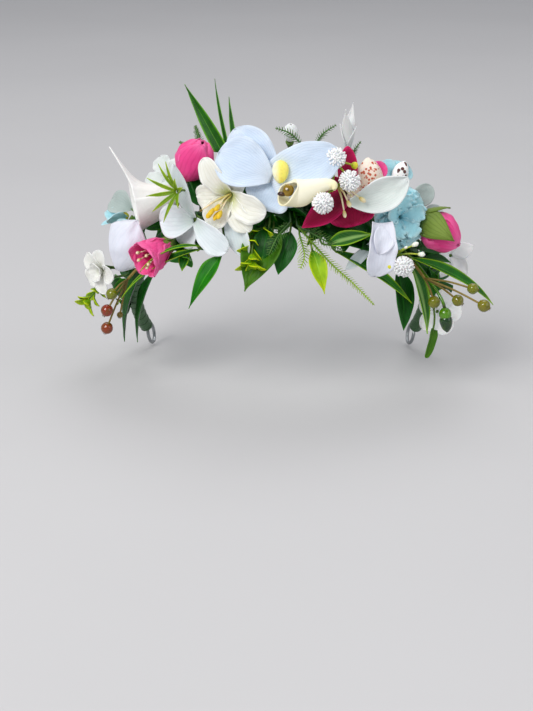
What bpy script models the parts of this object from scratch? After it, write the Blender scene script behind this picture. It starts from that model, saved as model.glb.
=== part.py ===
"""Flower hair crown: a taped wire band, open at the back, with artificial flowers, leaves, ferns and
berries on short stems.

The crown is modelled as it is worn. The origin is the middle of the head at ear level, +Z is up, +X is
towards the viewer's right, and the front of the crown faces -Y. Every flower and leaf is placed in
the band's own coordinates, so it moves with the band when a head size changes:
    along   degrees round the band from its front middle, positive towards +X
    lift    degrees round the band's own section: 0 is straight outwards, 90 towards the top of the head
    reach   millimetres from the band's centre line
"""

import math

import bmesh
import bpy
from mathutils import Matrix, Vector

# Driving dimensions, in millimetres and degrees
HEAD_WIDTH = 160.0
HEAD_DEPTH = 190.0
HEAD_RISE = 88.0        # from ear level to the top of the head
BAND_TILT = 50.0        # the band leans back: its front is this far above the horizontal
BAND_SWEEP = 108.0      # the band runs this far round each side from its front
WIRE_RADIUS = 1.3
TAPE_RADIUS = 4.0
WIRE_CLEARANCE = 0.35   # between the wire and the inside of the tape
HEAD_CLEARANCE = 1.0    # between the head and the tape
LOOP_RADIUS = 6.0       # centre line of a tie loop
LOOP_WIRE = 1.0
LOOP_LEG = 9.0          # straight part of a tie loop, inside the tape
FIT_GAP = 0.4           # between pieces that rest on each other
STEM_RADIUS = 1.1
STALK_RADIUS = 0.8
PETAL_THICKNESS = 1.0
LEAF_THICKNESS = 0.9

MILLIMETRE = 0.001

FINISHES = {  # red, green, blue, roughness, metallic
    "petal_pale_blue": (0.66, 0.77, 0.92, 0.6, 0.0),
    "petal_white": (0.90, 0.90, 0.86, 0.6, 0.0),
    "petal_cream": (0.93, 0.86, 0.62, 0.5, 0.0),
    "petal_pink": (0.85, 0.13, 0.38, 0.6, 0.0),
    "petal_magenta": (0.50, 0.01, 0.14, 0.6, 0.0),
    "petal_turquoise": (0.33, 0.69, 0.80, 0.7, 0.0),
    "petal_lavender": (0.78, 0.80, 0.92, 0.6, 0.0),
    "petal_blush": (0.88, 0.66, 0.58, 0.6, 0.0),
    "pompom_white": (0.93, 0.93, 0.93, 0.7, 0.0),
    "stamen_yellow": (0.90, 0.70, 0.08, 0.5, 0.0),
    "eucalyptus_grey": (0.50, 0.60, 0.56, 0.6, 0.0),
    "leaf_green": (0.03, 0.22, 0.03, 0.35, 0.0),
    "leaf_lime": (0.38, 0.60, 0.03, 0.4, 0.0),
    "calyx_green": (0.18, 0.26, 0.06, 0.6, 0.0),
    "fern_green": (0.14, 0.30, 0.05, 0.5, 0.0),
    "berry_olive": (0.22, 0.22, 0.02, 0.15, 0.0),
    "tape_green": (0.05, 0.16, 0.05, 0.8, 0.0),
    "wire_steel": (0.45, 0.46, 0.47, 0.35, 1.0),
}


def section_radius():
    """Distance from the head's middle to its surface in the band's plane, straight ahead."""
    tilt = math.radians(BAND_TILT)
    across = math.cos(tilt) / (HEAD_DEPTH / 2)
    upward = math.sin(tilt) / HEAD_RISE
    return 1 / math.hypot(across, upward)


BAND_SIDE = HEAD_WIDTH / 2 + TAPE_RADIUS + HEAD_CLEARANCE
BAND_FRONT = section_radius() + TAPE_RADIUS + HEAD_CLEARANCE
SIDEWAYS = Vector((1, 0, 0))
FORWARD = Vector((0, -math.cos(math.radians(BAND_TILT)), math.sin(math.radians(BAND_TILT))))
CROWNWARD = Vector((0, math.sin(math.radians(BAND_TILT)), math.cos(math.radians(BAND_TILT))))


def band_point(along):
    """Point on the band's centre line, an ellipse round the head."""
    angle = math.radians(along)
    return SIDEWAYS * (BAND_SIDE * math.sin(angle)) + FORWARD * (BAND_FRONT * math.cos(angle))


def band_outward(along):
    """Unit vector in the band's plane, square to the band and away from the head."""
    angle = math.radians(along)
    slope = SIDEWAYS * (BAND_FRONT * math.sin(angle)) + FORWARD * (BAND_SIDE * math.cos(angle))
    return slope.normalized()


def lift_direction(along, lift):
    """Unit vector square to the band, turned from outwards towards the top of the head by lift."""
    angle = math.radians(lift)
    return band_outward(along) * math.cos(angle) + CROWNWARD * math.sin(angle)


def place(along, lift, reach):
    """Point in millimetres at those band coordinates."""
    return band_point(along) + lift_direction(along, lift) * reach


def facing(turn, tilt):
    """Unit vector that looks turn degrees to +X from straight ahead, and tilt degrees up."""
    turn, tilt = math.radians(turn), math.radians(tilt)
    return Vector((math.sin(turn) * math.cos(tilt), -math.cos(turn) * math.cos(tilt), math.sin(tilt)))


def tape_surface(along, lift):
    """Point a fit gap clear of the tape, where a stem starts."""
    return place(along, lift, TAPE_RADIUS + FIT_GAP)


def seat(along, lift, reach, turn, tilt):
    """Matrix of a flower: its local Z is where it faces, and its local X is to its right."""
    axis = facing(turn, tilt)
    right = Vector((0, 0, 1)).cross(axis).normalized()
    turned = Matrix((right, axis.cross(right), axis)).transposed()
    return Matrix.Translation(place(along, lift, reach)) @ turned.to_4x4()


def material(slot):
    """The slot's material, made once."""
    found = bpy.data.materials.get(slot)
    if found:
        return found
    red, green, blue, roughness, metallic = FINISHES[slot]
    made = bpy.data.materials.new(slot)
    made.use_nodes = True
    shader = made.node_tree.nodes["Principled BSDF"]
    shader.inputs["Base Color"].default_value = (red, green, blue, 1)
    shader.inputs["Roughness"].default_value = roughness
    shader.inputs["Metallic"].default_value = metallic
    return made


def add_object(name, data, slot):
    """Links data to the scene as an object of that material."""
    obj = bpy.data.objects.new(name, data)
    bpy.context.scene.collection.objects.link(obj)
    data.materials.append(material(slot))
    return obj


def object_from_bmesh(name, bm, slot, matrix=None):
    """Turns a bmesh in millimetres into an object in metres, placed by matrix."""
    bmesh.ops.recalc_face_normals(bm, faces=bm.faces)
    mesh = bpy.data.meshes.new(name)
    bm.transform(Matrix.Diagonal((MILLIMETRE, MILLIMETRE, MILLIMETRE, 1)))
    bm.to_mesh(mesh)
    bm.free()
    obj = add_object(name, mesh, slot)
    if matrix is not None:
        metres = matrix.copy()
        metres.translation = matrix.translation * MILLIMETRE
        obj.matrix_world = metres
    mesh.shade_smooth()
    mesh.set_sharp_from_angle(angle=math.radians(50))
    return obj


def thicken(obj, thickness):
    """Closes an open sheet into a solid of that thickness, half on each side."""
    solidify = obj.modifiers.new("thickness", "SOLIDIFY")
    solidify.thickness = thickness * MILLIMETRE
    solidify.offset = 0
    solidify.use_even_offset = False
    return obj


def bezier(start, start_pull, end_pull, end, steps):
    """Points of a cubic curve from start to end."""
    points = []
    for i in range(steps + 1):
        t = i / steps
        s = 1 - t
        points.append(start * s**3 + start_pull * (3 * s * s * t)
                      + end_pull * (3 * s * t * t) + end * t**3)
    return points


def tube(name, points, radius, slot, resolution=2):
    """A round bar along points, with closed ends."""
    curve = bpy.data.curves.new(name, "CURVE")
    curve.dimensions = "3D"
    curve.bevel_depth = radius * MILLIMETRE
    curve.bevel_resolution = resolution
    curve.use_fill_caps = True
    spline = curve.splines.new("POLY")
    spline.points.add(len(points) - 1)
    for point, at in zip(spline.points, points):
        point.co = (*(at * MILLIMETRE), 1)
    return add_object(name, curve, slot)


def solid_tube(name, points, radius, slot):
    """The same bar as a mesh, for a Boolean."""
    curve_object = tube(name + "_curve", points, radius, slot, resolution=1)
    mesh = bpy.data.meshes.new_from_object(curve_object)
    curve = curve_object.data
    bpy.data.objects.remove(curve_object)
    bpy.data.curves.remove(curve)
    bm = bmesh.new()
    bm.from_mesh(mesh)
    bpy.data.meshes.remove(mesh)
    bmesh.ops.remove_doubles(bm, verts=bm.verts, dist=1e-6)
    bmesh.ops.scale(bm, vec=(1 / MILLIMETRE,) * 3, verts=bm.verts)
    return object_from_bmesh(name, bm, slot)


def fuse(name, pieces):
    """Joins overlapping solids into the first one, which takes the name."""
    body = pieces[0]
    for piece in pieces[1:]:
        piece.hide_render = True
        piece.display_type = "WIRE"
        union = body.modifiers.new("join " + piece.name, "BOOLEAN")
        union.operation = "UNION"
        union.object = piece
    body.name = name
    return body


def ball(name, centre, radii, slot, matrix=None, segments=10, rings=6):
    """An ellipsoid with those three radii."""
    bm = bmesh.new()
    bmesh.ops.create_uvsphere(bm, u_segments=segments, v_segments=rings, radius=1)
    bmesh.ops.scale(bm, vec=radii, verts=bm.verts)
    bmesh.ops.translate(bm, vec=centre, verts=bm.verts)
    return object_from_bmesh(name, bm, slot, matrix)


def outline(petals, angle, heart):
    """Radius of a flower head at angle: the longest petal there, and never less than its heart.

    A petal is (direction in degrees, length, half width in degrees). It is a cosine lobe.
    """
    longest = heart
    for direction, length, half_width in petals:
        off = abs((math.degrees(angle) - direction + 180) % 360 - 180)
        if off < half_width:
            lobe = math.cos(math.radians(90 * off / half_width)) ** 0.6
            longest = max(longest, heart + (length - heart) * lobe)
    return longest


def flower_head(name, where, petals, cup, slot, heart=5.0, segments=30, rings=3):
    """A flower head as one lobed dish. Its petal tips stand cup millimetres before its heart."""
    bm = bmesh.new()
    reach = max(length for _, length, _ in petals)
    centre = bm.verts.new((0, 0, 0))
    circles = []
    for ring in range(1, rings + 1):
        circle = []
        for step in range(segments):
            angle = 2 * math.pi * step / segments
            radius = outline(petals, angle, heart) * ring / rings
            height = cup * (radius / reach) ** 2
            circle.append(bm.verts.new((radius * math.cos(angle), radius * math.sin(angle), height)))
        circles.append(circle)
    for step in range(segments):
        after = (step + 1) % segments
        bm.faces.new((centre, circles[0][step], circles[0][after]))
        for inner, outer in zip(circles, circles[1:]):
            bm.faces.new((inner[step], outer[step], outer[after], inner[after]))
    return thicken(object_from_bmesh(name, bm, slot, where), PETAL_THICKNESS)


def turned(name, where, profile, slot, steps=12):
    """A solid turned about its own Z from a profile of (radius, height) that starts and ends at 0."""
    bm = bmesh.new()
    verts = [bm.verts.new((radius, 0, height)) for radius, height in profile]
    edges = [bm.edges.new(pair) for pair in zip(verts, verts[1:])]
    bmesh.ops.spin(bm, geom=verts + edges, cent=(0, 0, 0), axis=(0, 0, 1), dvec=(0, 0, 0),
                   angle=2 * math.pi, steps=steps, use_duplicate=False)
    bmesh.ops.remove_doubles(bm, verts=bm.verts, dist=0.01)
    return object_from_bmesh(name, bm, slot, where)


def blade(name, base, tip, width, bow, slot, rows=6, widest=0.4):
    """A leaf from base to tip, bowed outwards from the head, with a raised midrib.

    base and tip are points; bow is how far its middle stands off the straight line between them.
    """
    line = tip - base
    out = ((base + tip) / 2).normalized()
    out = (out - line * (out.dot(line) / line.length_squared)).normalized()
    side = line.cross(out).normalized()
    bm = bmesh.new()
    lines = []
    for row in range(rows + 1):
        t = row / rows
        middle = base + line * t + out * (4 * bow * t * (1 - t))
        if t < widest:
            half = width / 2 * (0.25 + 0.75 * math.sin(math.pi / 2 * t / widest))
        else:
            half = width / 2 * math.cos(math.pi / 2 * (t - widest) / (1 - widest))
        if row == rows:
            lines.append([bm.verts.new(middle)])
            continue
        lines.append([bm.verts.new(middle - side * half),
                      bm.verts.new(middle + out * (0.15 * half)),
                      bm.verts.new(middle + side * half)])
    for lower, upper in zip(lines, lines[1:]):
        for i in range(2):
            if len(upper) == 1:
                bm.faces.new((lower[i], lower[i + 1], upper[0]))
            else:
                bm.faces.new((lower[i], lower[i + 1], upper[i + 1], upper[i]))
    return thicken(object_from_bmesh(name, bm, slot), LEAF_THICKNESS)


def stem_points(where, along, lift, back=1.0, steps=4):
    """Curve from the tape's surface to just behind a flower."""
    root = tape_surface(along, lift)
    axis = where.col[2].to_3d()
    head = where.translation - axis * (back + FIT_GAP)
    pull = (head - root).length / 3
    return bezier(root, root + lift_direction(along, lift) * pull, head - axis * pull, head, steps)


def add_stem(name, where, along, lift, back=1.0):
    """A flower's own wired stem, bound to the band."""
    return tube(name, stem_points(where, along, lift, back), STEM_RADIUS, "calyx_green")


def moulded_stem(name, where, along, lift):
    """A stem that runs into its flower, to be fused with it."""
    return solid_tube(name + "_stem", stem_points(where, along, lift, -FIT_GAP), STEM_RADIUS, "calyx_green")


# ---- band ------------------------------------------------------------------------------------

def ring_section(centre, out, up, radius, sides):
    """Points of a circle square to the band."""
    points = []
    for i in range(sides):
        angle = 2 * math.pi * i / sides
        points.append(centre + out * (radius * math.cos(angle)) + up * (radius * math.sin(angle)))
    return points


def build_band():
    """The wire, the tape sleeve round it, and a tie loop at each end."""
    steps = 36
    angles = [-BAND_SWEEP + 2 * BAND_SWEEP * i / steps for i in range(steps + 1)]
    bore = WIRE_RADIUS + WIRE_CLEARANCE
    sides = 8
    bm = bmesh.new()
    skins = []
    for radius in (TAPE_RADIUS, bore):
        rings = []
        for along in angles:
            points = ring_section(band_point(along), band_outward(along), CROWNWARD, radius, sides)
            rings.append([bm.verts.new(point) for point in points])
        for first, second in zip(rings, rings[1:]):
            for i in range(sides):
                j = (i + 1) % sides
                bm.faces.new((first[i], first[j], second[j], second[i]))
        skins.append(rings)
    for end in (0, -1):
        outer, inner = skins[0][end], skins[1][end]
        for i in range(sides):
            j = (i + 1) % sides
            bm.faces.new((outer[i], outer[j], inner[j], inner[i]))
    object_from_bmesh("tape_wrap", bm, "tape_green")

    leg_angle = math.degrees((LOOP_LEG + FIT_GAP) / BAND_FRONT)
    reach = BAND_SWEEP - leg_angle
    wire = [band_point(-reach + 2 * reach * i / steps) for i in range(steps + 1)]
    tube("band_wire", wire, WIRE_RADIUS, "wire_steel", resolution=1)

    for name, sign in (("left_tie_loop", -1), ("right_tie_loop", 1)):
        build_tie_loop(name, sign)


def build_tie_loop(name, sign):
    """A wire eye that a ribbon ties to: its leg sits in the end of the tape, its ring lies along the head."""
    end = band_point(sign * BAND_SWEEP)
    onward = (end - band_point(sign * (BAND_SWEEP - 1))).normalized()
    start = end - onward * (LOOP_LEG - 3 * FIT_GAP)
    sideways = band_outward(sign * BAND_SWEEP).cross(onward).normalized()
    centre = end + onward * (LOOP_RADIUS + LOOP_WIRE + 2 * FIT_GAP)
    leg = solid_tube(name, [start, centre - onward * LOOP_RADIUS], LOOP_WIRE, "wire_steel")
    bm = bmesh.new()
    around, section = 20, 6
    rings = []
    for i in range(around):
        angle = 2 * math.pi * i / around
        out = onward * math.cos(angle) + sideways * math.sin(angle)
        across = onward.cross(sideways)
        points = ring_section(centre + out * LOOP_RADIUS, out, across, LOOP_WIRE, section)
        rings.append([bm.verts.new(point) for point in points])
    for i in range(around):
        first, second = rings[i], rings[(i + 1) % around]
        for k in range(section):
            bm.faces.new((first[k], first[(k + 1) % section], second[(k + 1) % section], second[k]))
    fuse(name, [leg, object_from_bmesh(name + "_ring", bm, "wire_steel")])


# ---- flowers ---------------------------------------------------------------------------------

# name: seat (along, lift, reach, turn, tilt), petals (direction, length, half width), cup, slot,
# and the stem's own (along, lift) on the band
LARGE_FLOWERS = {
    "blue_orchid_petals": ((-1, -14, 30, -4, 22),
                           [(165, 34, 42), (122, 32, 32), (24, 34, 38), (238, 19, 26)],
                           2, "petal_pale_blue", (-2, -14)),
    "white_lily_petals": ((-14, -28, 20, -20, 4),
                          [(118, 22, 26), (178, 19, 26), (238, 17, 24), (298, 21, 26), (350, 18, 22)],
                          9, "petal_white", (-13, -24)),
    "dogwood_petals": ((-27, -40, 15, -30, 8),
                       [(112, 25, 20), (190, 17, 34), (245, 14, 26), (318, 22, 26)],
                       3, "petal_white", (-27, -40)),
    "magenta_orchid": ((19, -6, 18, 8, 16),
                       [(216, 31, 24), (296, 21, 42), (84, 18, 24), (150, 14, 26), (20, 15, 28)],
                       3, "petal_magenta", (19, -6)),
    "delphinium": ((38, -14, 18, 40, 8),
                   [(75, 17, 32), (150, 12, 28), (250, 17, 26), (330, 13, 34)],
                   4, "petal_turquoise", (38, -12)),
    "lavender_bloom": ((-54, -26, 21, -58, 4),
                       [(90, 14, 50), (180, 12, 45), (270, 14, 50), (10, 12, 40)],
                       5, "petal_lavender", (-54, -26)),
}

SMALL_FLOWERS = {
    "far_white_bloom": ((-71, -18, 22, -82, -8),
                        [(90, 10, 60), (210, 10, 60), (330, 10, 60)],
                        5, "petal_white", (-71, -18)),
    "turquoise_star": ((-66, 52, 26, -80, 30),
                       [(60, 13, 26), (130, 15, 26), (200, 11, 26), (270, 11, 26), (340, 11, 26)],
                       2, "petal_turquoise", (-66, 50)),
    "blush_orchid": ((28, 40, 22, 30, 24),
                     [(90, 12, 40), (180, 11, 40), (270, 12, 40), (0, 11, 40)],
                     8, "petal_blush", (28, 40)),
    "spotted_orchid": ((40, 62, 30, 40, 30),
                       [(90, 9, 45), (200, 9, 45), (320, 9, 45)],
                       5, "petal_white", (40, 62)),
    "boat_petal": ((29, -8, 31, 22, 12),
                   [(22, 19, 26), (190, 17, 28), (280, 8, 36)],
                   6, "petal_white", (31, -2)),
    "pale_bloom": ((31, -62, 25, 20, 0),
                   [(85, 14, 36), (262, 14, 38)],
                   2, "petal_lavender", (33, -62)),
    "white_star": ((74, 18, 22, 70, 0),
                   [(20, 14, 22), (92, 11, 20), (160, 10, 20), (236, 13, 22), (306, 12, 22)],
                   2, "petal_white", (72, 18)),
    "low_white_bloom": ((80, -70, 26, 76, -30),
                        [(90, 10, 60), (210, 11, 60), (330, 10, 60)],
                        5, "petal_white", (82, -60)),
    "back_white_bloom": ((-50, 92, 44, -40, 40),
                         [(60, 11, 40), (150, 11, 40), (240, 11, 40), (330, 11, 40)],
                         4, "petal_white", (-50, 90)),
}


def build_open_flowers():
    """The large flowers stand on a separate stem; a small one is moulded in one piece with its stem."""
    for name, (where, petals, cup, slot, root) in LARGE_FLOWERS.items():
        matrix = seat(*where)
        flower_head(name, matrix, petals, cup, slot)
        add_stem(name.removesuffix("_petals") + "_stem", matrix, *root)
    for name, (where, petals, cup, slot, root) in SMALL_FLOWERS.items():
        matrix = seat(*where)
        head = flower_head(name, matrix, petals, cup, slot, segments=24, rings=2)
        fuse(name, [head, moulded_stem(name, matrix, *root)])


def build_orchid_lip():
    """The blue orchid's yellow column cap and its cream lip, a tube that lies to the right."""
    heart = seat(-1, -14, 30, -4, 22)
    ball("orchid_column", (-3, 2, 5.5), (4.0, 6.5, 4.0), "petal_cream", heart)
    turned("orchid_lip", heart @ Matrix.Translation((6, -7, 8)) @ Matrix.Rotation(math.radians(82), 4, "Y"),
           [(0, 0), (7.0, 0), (6.6, 8), (5.0, 14), (2.4, 19), (0, 20)], "petal_cream")


def build_lily_stamens():
    """Six filaments with golden anthers, as one bundle, and the style."""
    heart = seat(-14, -28, 20, -20, 4)
    turned("lily_stamens", heart @ Matrix.Translation((0, 0, PETAL_THICKNESS + FIT_GAP))
           @ Matrix.Rotation(math.radians(18), 4, "X") @ Matrix.Rotation(math.radians(-22), 4, "Y"),
           [(0, 0), (0.8, 0), (1.2, 6), (4.0, 13), (2.5, 17), (0, 18)], "stamen_yellow", steps=8)


def build_calla():
    """A funnel spathe that opens to the left, with a long tip, and the spadix inside it."""
    axis_seat = seat(-38, 46, 17, -64, -10)
    mouth, throat, length, wall = 12.5, 3.0, 27.0, 1.0
    sides, steps = 14, 5
    bm = bmesh.new()
    skins = []
    for inset in (0, wall):
        rings = []
        for step in range(steps + 1):
            t = step / steps
            radius = throat + (mouth - throat) * t**1.2 - inset
            low = wall if inset and step == 0 else 0
            ring = []
            for i in range(sides):
                angle = 2 * math.pi * i / sides
                tip = t**5 * max(0, math.cos(angle - math.radians(95))) ** 6
                out = radius + 22 * tip
                ring.append(bm.verts.new((out * math.cos(angle), out * math.sin(angle),
                                          length * t + low + 4 * tip)))
            rings.append(ring)
        for first, second in zip(rings, rings[1:]):
            for i in range(sides):
                j = (i + 1) % sides
                bm.faces.new((first[i], first[j], second[j], second[i]))
        bm.faces.new(rings[0])
        skins.append(rings)
    outer, inner = skins[0][-1], skins[1][-1]
    for i in range(sides):
        j = (i + 1) % sides
        bm.faces.new((outer[i], outer[j], inner[j], inner[i]))
    object_from_bmesh("calla_spathe", bm, "petal_white", axis_seat)
    turned("calla_spadix", axis_seat @ Matrix.Translation((0, 0, wall + FIT_GAP)),
           [(0, 0), (1.4, 0), (1.8, 9), (1.6, 17), (0, 19)], "stamen_yellow", steps=8)
    add_stem("calla_stem", axis_seat, -35, 46, back=0.2)


def bud_profile(radius, length):
    """Profile of a closed bud, widest at its middle and hollow at its tip."""
    return [(0, 0), (radius * 0.62, 0.4), (radius * 0.96, length * 0.3), (radius, length * 0.52),
            (radius * 0.82, length * 0.82), (radius * 0.45, length), (0, length * 0.94)]


def build_bud(name, where, radius, length, slot, root):
    """A closed bud, and the green calyx and stem that carry it."""
    matrix = seat(*where)
    turned(name + "_petals", matrix, bud_profile(radius, length), slot)
    calyx = turned(name + "_calyx", matrix @ Matrix.Translation((0, 0, -FIT_GAP)),
                   [(0, -5), (1.8, -5), (3.4, -3), (radius * 0.62, 0), (0, 0)], "calyx_green", steps=10)
    stem = solid_tube(name + "_stem", stem_points(matrix, *root, 3), STEM_RADIUS, "calyx_green")
    fuse(name + "_calyx", [calyx, stem])


def build_buds():
    """The pink ranunculus, the open pink bud and the rosebud; the small white ones are one piece."""
    build_bud("ranunculus", (-28, 68, 27, -26, 48), 11.5, 19, "petal_pink", (-29, 66))
    build_bud("pink_bud", (-40, -50, 17, -52, -14), 9.5, 17, "petal_pink", (-39, -46))
    build_bud("rosebud", (48, 2, 19, 66, -16), 11.0, 24, "petal_pink", (53, 8))
    top = seat(6, 97, 48, 6, 62)
    bud = turned("white_top_bud", top, bud_profile(4.5, 11), "petal_white", steps=10)
    fuse("white_top_bud", [bud, moulded_stem("white_top_bud", top, 6, 94)])
    tall = seat(26, 92, 46, 4, 74)
    star = turned("feather_star", tall, [(0, 0), (2.2, 0), (5.2, 6), (4.2, 14), (1.2, 25), (0, 29)],
                  "petal_white", steps=10)
    fuse("feather_star", [star, moulded_stem("feather_star", tall, 26, 88)])


# ---- foliage ---------------------------------------------------------------------------------

# name: base and tip (along, lift, reach), width, bow, slot
LEAVES = {
    "willow_leaf": ((-21, -94, 26), (-40, -100, 50), 13, 3, "leaf_green"),
    "broad_leaf": ((-9, -84, 26), (-15, -100, 52), 24, 4, "leaf_green"),
    "dark_leaf": ((3, -78, 22), (-1, -97, 42), 14, 2, "leaf_green"),
    "lime_leaf": ((10, -92, 28), (16, -106, 50), 12, 2, "leaf_lime"),
    "striped_leaf": ((15, -72, 30), (27, -54, 32), 9, 2, "leaf_green"),
    "long_leaf": ((22, -82, 22), (57, -88, 22), 9, 7, "leaf_green"),
    "spear_leaf": ((59, -88, 26), (70, -98, 52), 15, 2, "leaf_green"),
    "strap_leaf": ((-30, -74, 26), (-62, -62, 44), 7, 6, "leaf_lime"),
    "grey_leaf_left": ((-55, 76, 30), (-61, 80, 54), 13, 1, "eucalyptus_grey"),
    "grey_leaf_right": ((58, 70, 30), (63, 82, 52), 14, 1, "eucalyptus_grey"),
    "fern_front": ((4, -66, 26), (38, -95, 50), 13, 4, "fern_green"),
    "fern_top_left": ((-31, 96, 40), (-38, 92, 64), 9, 0, "fern_green"),
    "fern_top_right": ((14, 96, 34), (20, 104, 72), 10, 0, "fern_green"),
}


# name: shared root, then each blade's tip and width
TUFTS = {
    "grass_tuft": ((-22, 80, 40), [((-33, 84, 92), 8), ((-25, 86, 92), 3.5), ((-21, 92, 84), 4)]),
    "left_bamboo_leaves": ((-56, -68, 16), [((-92, -78, 30), 12), ((-84, -96, 34), 9)]),
    "right_bamboo_leaves": ((57, -62, 20), [((74, -88, 46), 10), ((69, -42, 52), 9)]),
}


def build_leaves():
    """Single leaves and fern fronds, then the blades that share one root. Each has its own stalk."""
    for name, (base, tip, width, bow, slot) in LEAVES.items():
        start, end = place(*base), place(*tip)
        run = (end - start).normalized() * 4
        stalk = solid_tube(name + "_stalk", [tape_surface(*base[:2]), start, start + run], STALK_RADIUS, slot)
        fuse(name, [blade(name, start, end, width, bow, slot), stalk])
    for name, (root, tips) in TUFTS.items():
        base = place(*root)
        pieces = [ball(name, base, (2.4, 2.4, 2.4), "leaf_green", segments=8, rings=5),
                  solid_tube(name + "_stalk", [tape_surface(*root[:2]), base], STALK_RADIUS, "leaf_green")]
        for i, (tip, width) in enumerate(tips):
            pieces.append(blade(f"{name}_{i}", base, place(*tip), width, 3, "leaf_green", 4, 0.25))
        fuse(name, pieces)


def berry_sprig(name, root, hub, berries, slot):
    """A stem that forks at its hub to a berry on each branch."""
    start = tape_surface(*root)
    fork = place(*hub)
    pieces = [solid_tube(name, [start, fork], STEM_RADIUS, slot),
              ball(name + "_fork", fork, (1.6, 1.6, 1.6), slot, segments=8, rings=6)]
    for i, (at, radius) in enumerate(berries):
        centre = place(*at)
        pieces.append(solid_tube(f"{name}_branch_{i}", [fork, centre], STALK_RADIUS, slot))
        pieces.append(ball(f"{name}_berry_{i}", centre, (radius,) * 3, slot, segments=8, rings=6))
    return fuse(name, pieces)


def build_balls():
    """The white spiky balls: a sprig of three in front, and one at the right."""
    berry_sprig("pompom_sprig", (13, -12), (14, -12, 23),
                [((14, 34, 31), 6.0), ((17, -8, 37), 6.0), ((12, -42, 40), 6.0)], "pompom_white")
    berry_sprig("pompom_right", (42, -60), (41, -63, 22),
                [((40, -69, 38), 6.0)], "pompom_white")


def build_berries():
    """A berry sprig at each side, and the acorn-like bud."""
    berry_sprig("left_berries", (-50, -58), (-57, -60, 28),
                [((-59, -56, 41), 3.2), ((-65, -61, 45), 3.4), ((-71, -67, 46), 3.4)], "berry_olive")
    berry_sprig("right_berries", (48, -68), (50, -64, 34),
                [((55, -50, 70), 3.6), ((54, -45, 57), 3.2), ((57, -68, 43), 3.6)], "berry_olive")
    acorn = seat(62, -64, 44, 50, -80)
    nut = turned("acorn_bud", acorn, [(0, 0), (3.2, 1.2), (4.2, 5), (3.6, 10), (0, 14)],
                 "berry_olive", steps=10)
    stem = solid_tube("acorn_bud_stem", stem_points(acorn, 53, -68, -3), STALK_RADIUS, "berry_olive")
    fuse("acorn_bud", [nut, stem])


def main():
    """Clears the scene and builds the crown."""
    for obj in list(bpy.data.objects):
        bpy.data.objects.remove(obj)
    build_band()
    build_open_flowers()
    build_orchid_lip()
    build_lily_stamens()
    build_calla()
    build_buds()
    build_leaves()
    build_balls()
    build_berries()


main()
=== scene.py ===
"""Looks of the flower crown: silk blooms, plastic leaves, ferns and berries on a taped wire band."""

import logging
import math
from dataclasses import dataclass, replace
from enum import Enum
from typing import Mapping, Sequence

import bpy
import numpy as np
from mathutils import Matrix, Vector


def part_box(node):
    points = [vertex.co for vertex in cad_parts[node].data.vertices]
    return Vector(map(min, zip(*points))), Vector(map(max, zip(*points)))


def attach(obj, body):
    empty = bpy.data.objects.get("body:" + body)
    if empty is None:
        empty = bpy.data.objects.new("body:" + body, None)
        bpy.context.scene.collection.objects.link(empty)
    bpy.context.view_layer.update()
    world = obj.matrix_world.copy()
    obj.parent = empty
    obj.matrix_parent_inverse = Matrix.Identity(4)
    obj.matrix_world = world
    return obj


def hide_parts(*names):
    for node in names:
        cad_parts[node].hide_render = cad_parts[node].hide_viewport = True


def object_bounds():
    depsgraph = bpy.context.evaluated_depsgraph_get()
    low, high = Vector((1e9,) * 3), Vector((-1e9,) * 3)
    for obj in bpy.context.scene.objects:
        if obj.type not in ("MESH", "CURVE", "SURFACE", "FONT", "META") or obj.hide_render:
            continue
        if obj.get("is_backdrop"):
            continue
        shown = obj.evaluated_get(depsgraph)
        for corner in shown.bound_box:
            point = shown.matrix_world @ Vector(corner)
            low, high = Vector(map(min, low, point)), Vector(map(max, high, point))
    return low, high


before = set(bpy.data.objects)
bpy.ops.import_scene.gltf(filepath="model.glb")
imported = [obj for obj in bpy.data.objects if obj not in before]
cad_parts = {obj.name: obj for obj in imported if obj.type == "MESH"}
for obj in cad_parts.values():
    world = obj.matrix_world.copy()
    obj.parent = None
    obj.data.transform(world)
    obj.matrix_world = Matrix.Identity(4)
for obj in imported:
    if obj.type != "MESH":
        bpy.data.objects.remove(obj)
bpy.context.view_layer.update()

Array = np.ndarray
Pair = tuple[float, float]
Triple = tuple[float, float, float]  # a point, or the band's along, lift and reach
Stance = tuple[float, float, float, float, float]  # along, lift, reach, turn and tilt
Colour = Triple

LOG = logging.getLogger("flower_crown")
UPWARD = np.array([0.0, 0.0, 1.0])
SIDEWAYS = np.array([1.0, 0.0, 0.0])
MILLIMETRE = 0.001
TAPE_RADIUS = 4.0
BAND_TILT = 50.0
BAND_SWEEP = 108.0
FIT_GAP = 0.4
LEAF_SHEET = 0.35  # thickness of a leaf
CRUMPLE = 0.02  # how far a petal's small creases rise, as a share of its width
STALK = 0.55  # radius of a leaf's stalk
GOLDEN_TURN = 137.5  # degrees from one leaf on a twig to the next


def dye(red: int, green: int, blue: int) -> Colour:
    """A colour as it looks on a screen, 0 to 255 each, turned into light values.

    Args:
        red: Red part.
        green: Green part.
        blue: Blue part.

    Returns:
        The three light values, each from 0 to 1.
    """
    def light(part: int) -> float:
        """One part, through the screen's own curve."""
        level = part / 255
        return level / 12.92 if level <= 0.04045 else ((level + 0.055) / 1.055) ** 2.4

    return light(red), light(green), light(blue)


def unit(vectors: Array) -> Array:
    """Vectors scaled to length one along the last axis."""
    return vectors / np.maximum(np.linalg.norm(vectors, axis=-1, keepdims=True), 1e-9)


def around_path(across: Array, upward: Array, angle: Array) -> Array:
    """Unit vectors square to a path: across and upward for each point, turned by each angle."""
    return across[:, None] * np.cos(angle)[..., None] + upward[:, None] * np.sin(angle)[..., None]


def seed_of(name: str) -> int:
    """A fixed number for a name, so that a piece is the same on every run."""
    return sum((index + 1) * ord(letter) for index, letter in enumerate(name))


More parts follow.
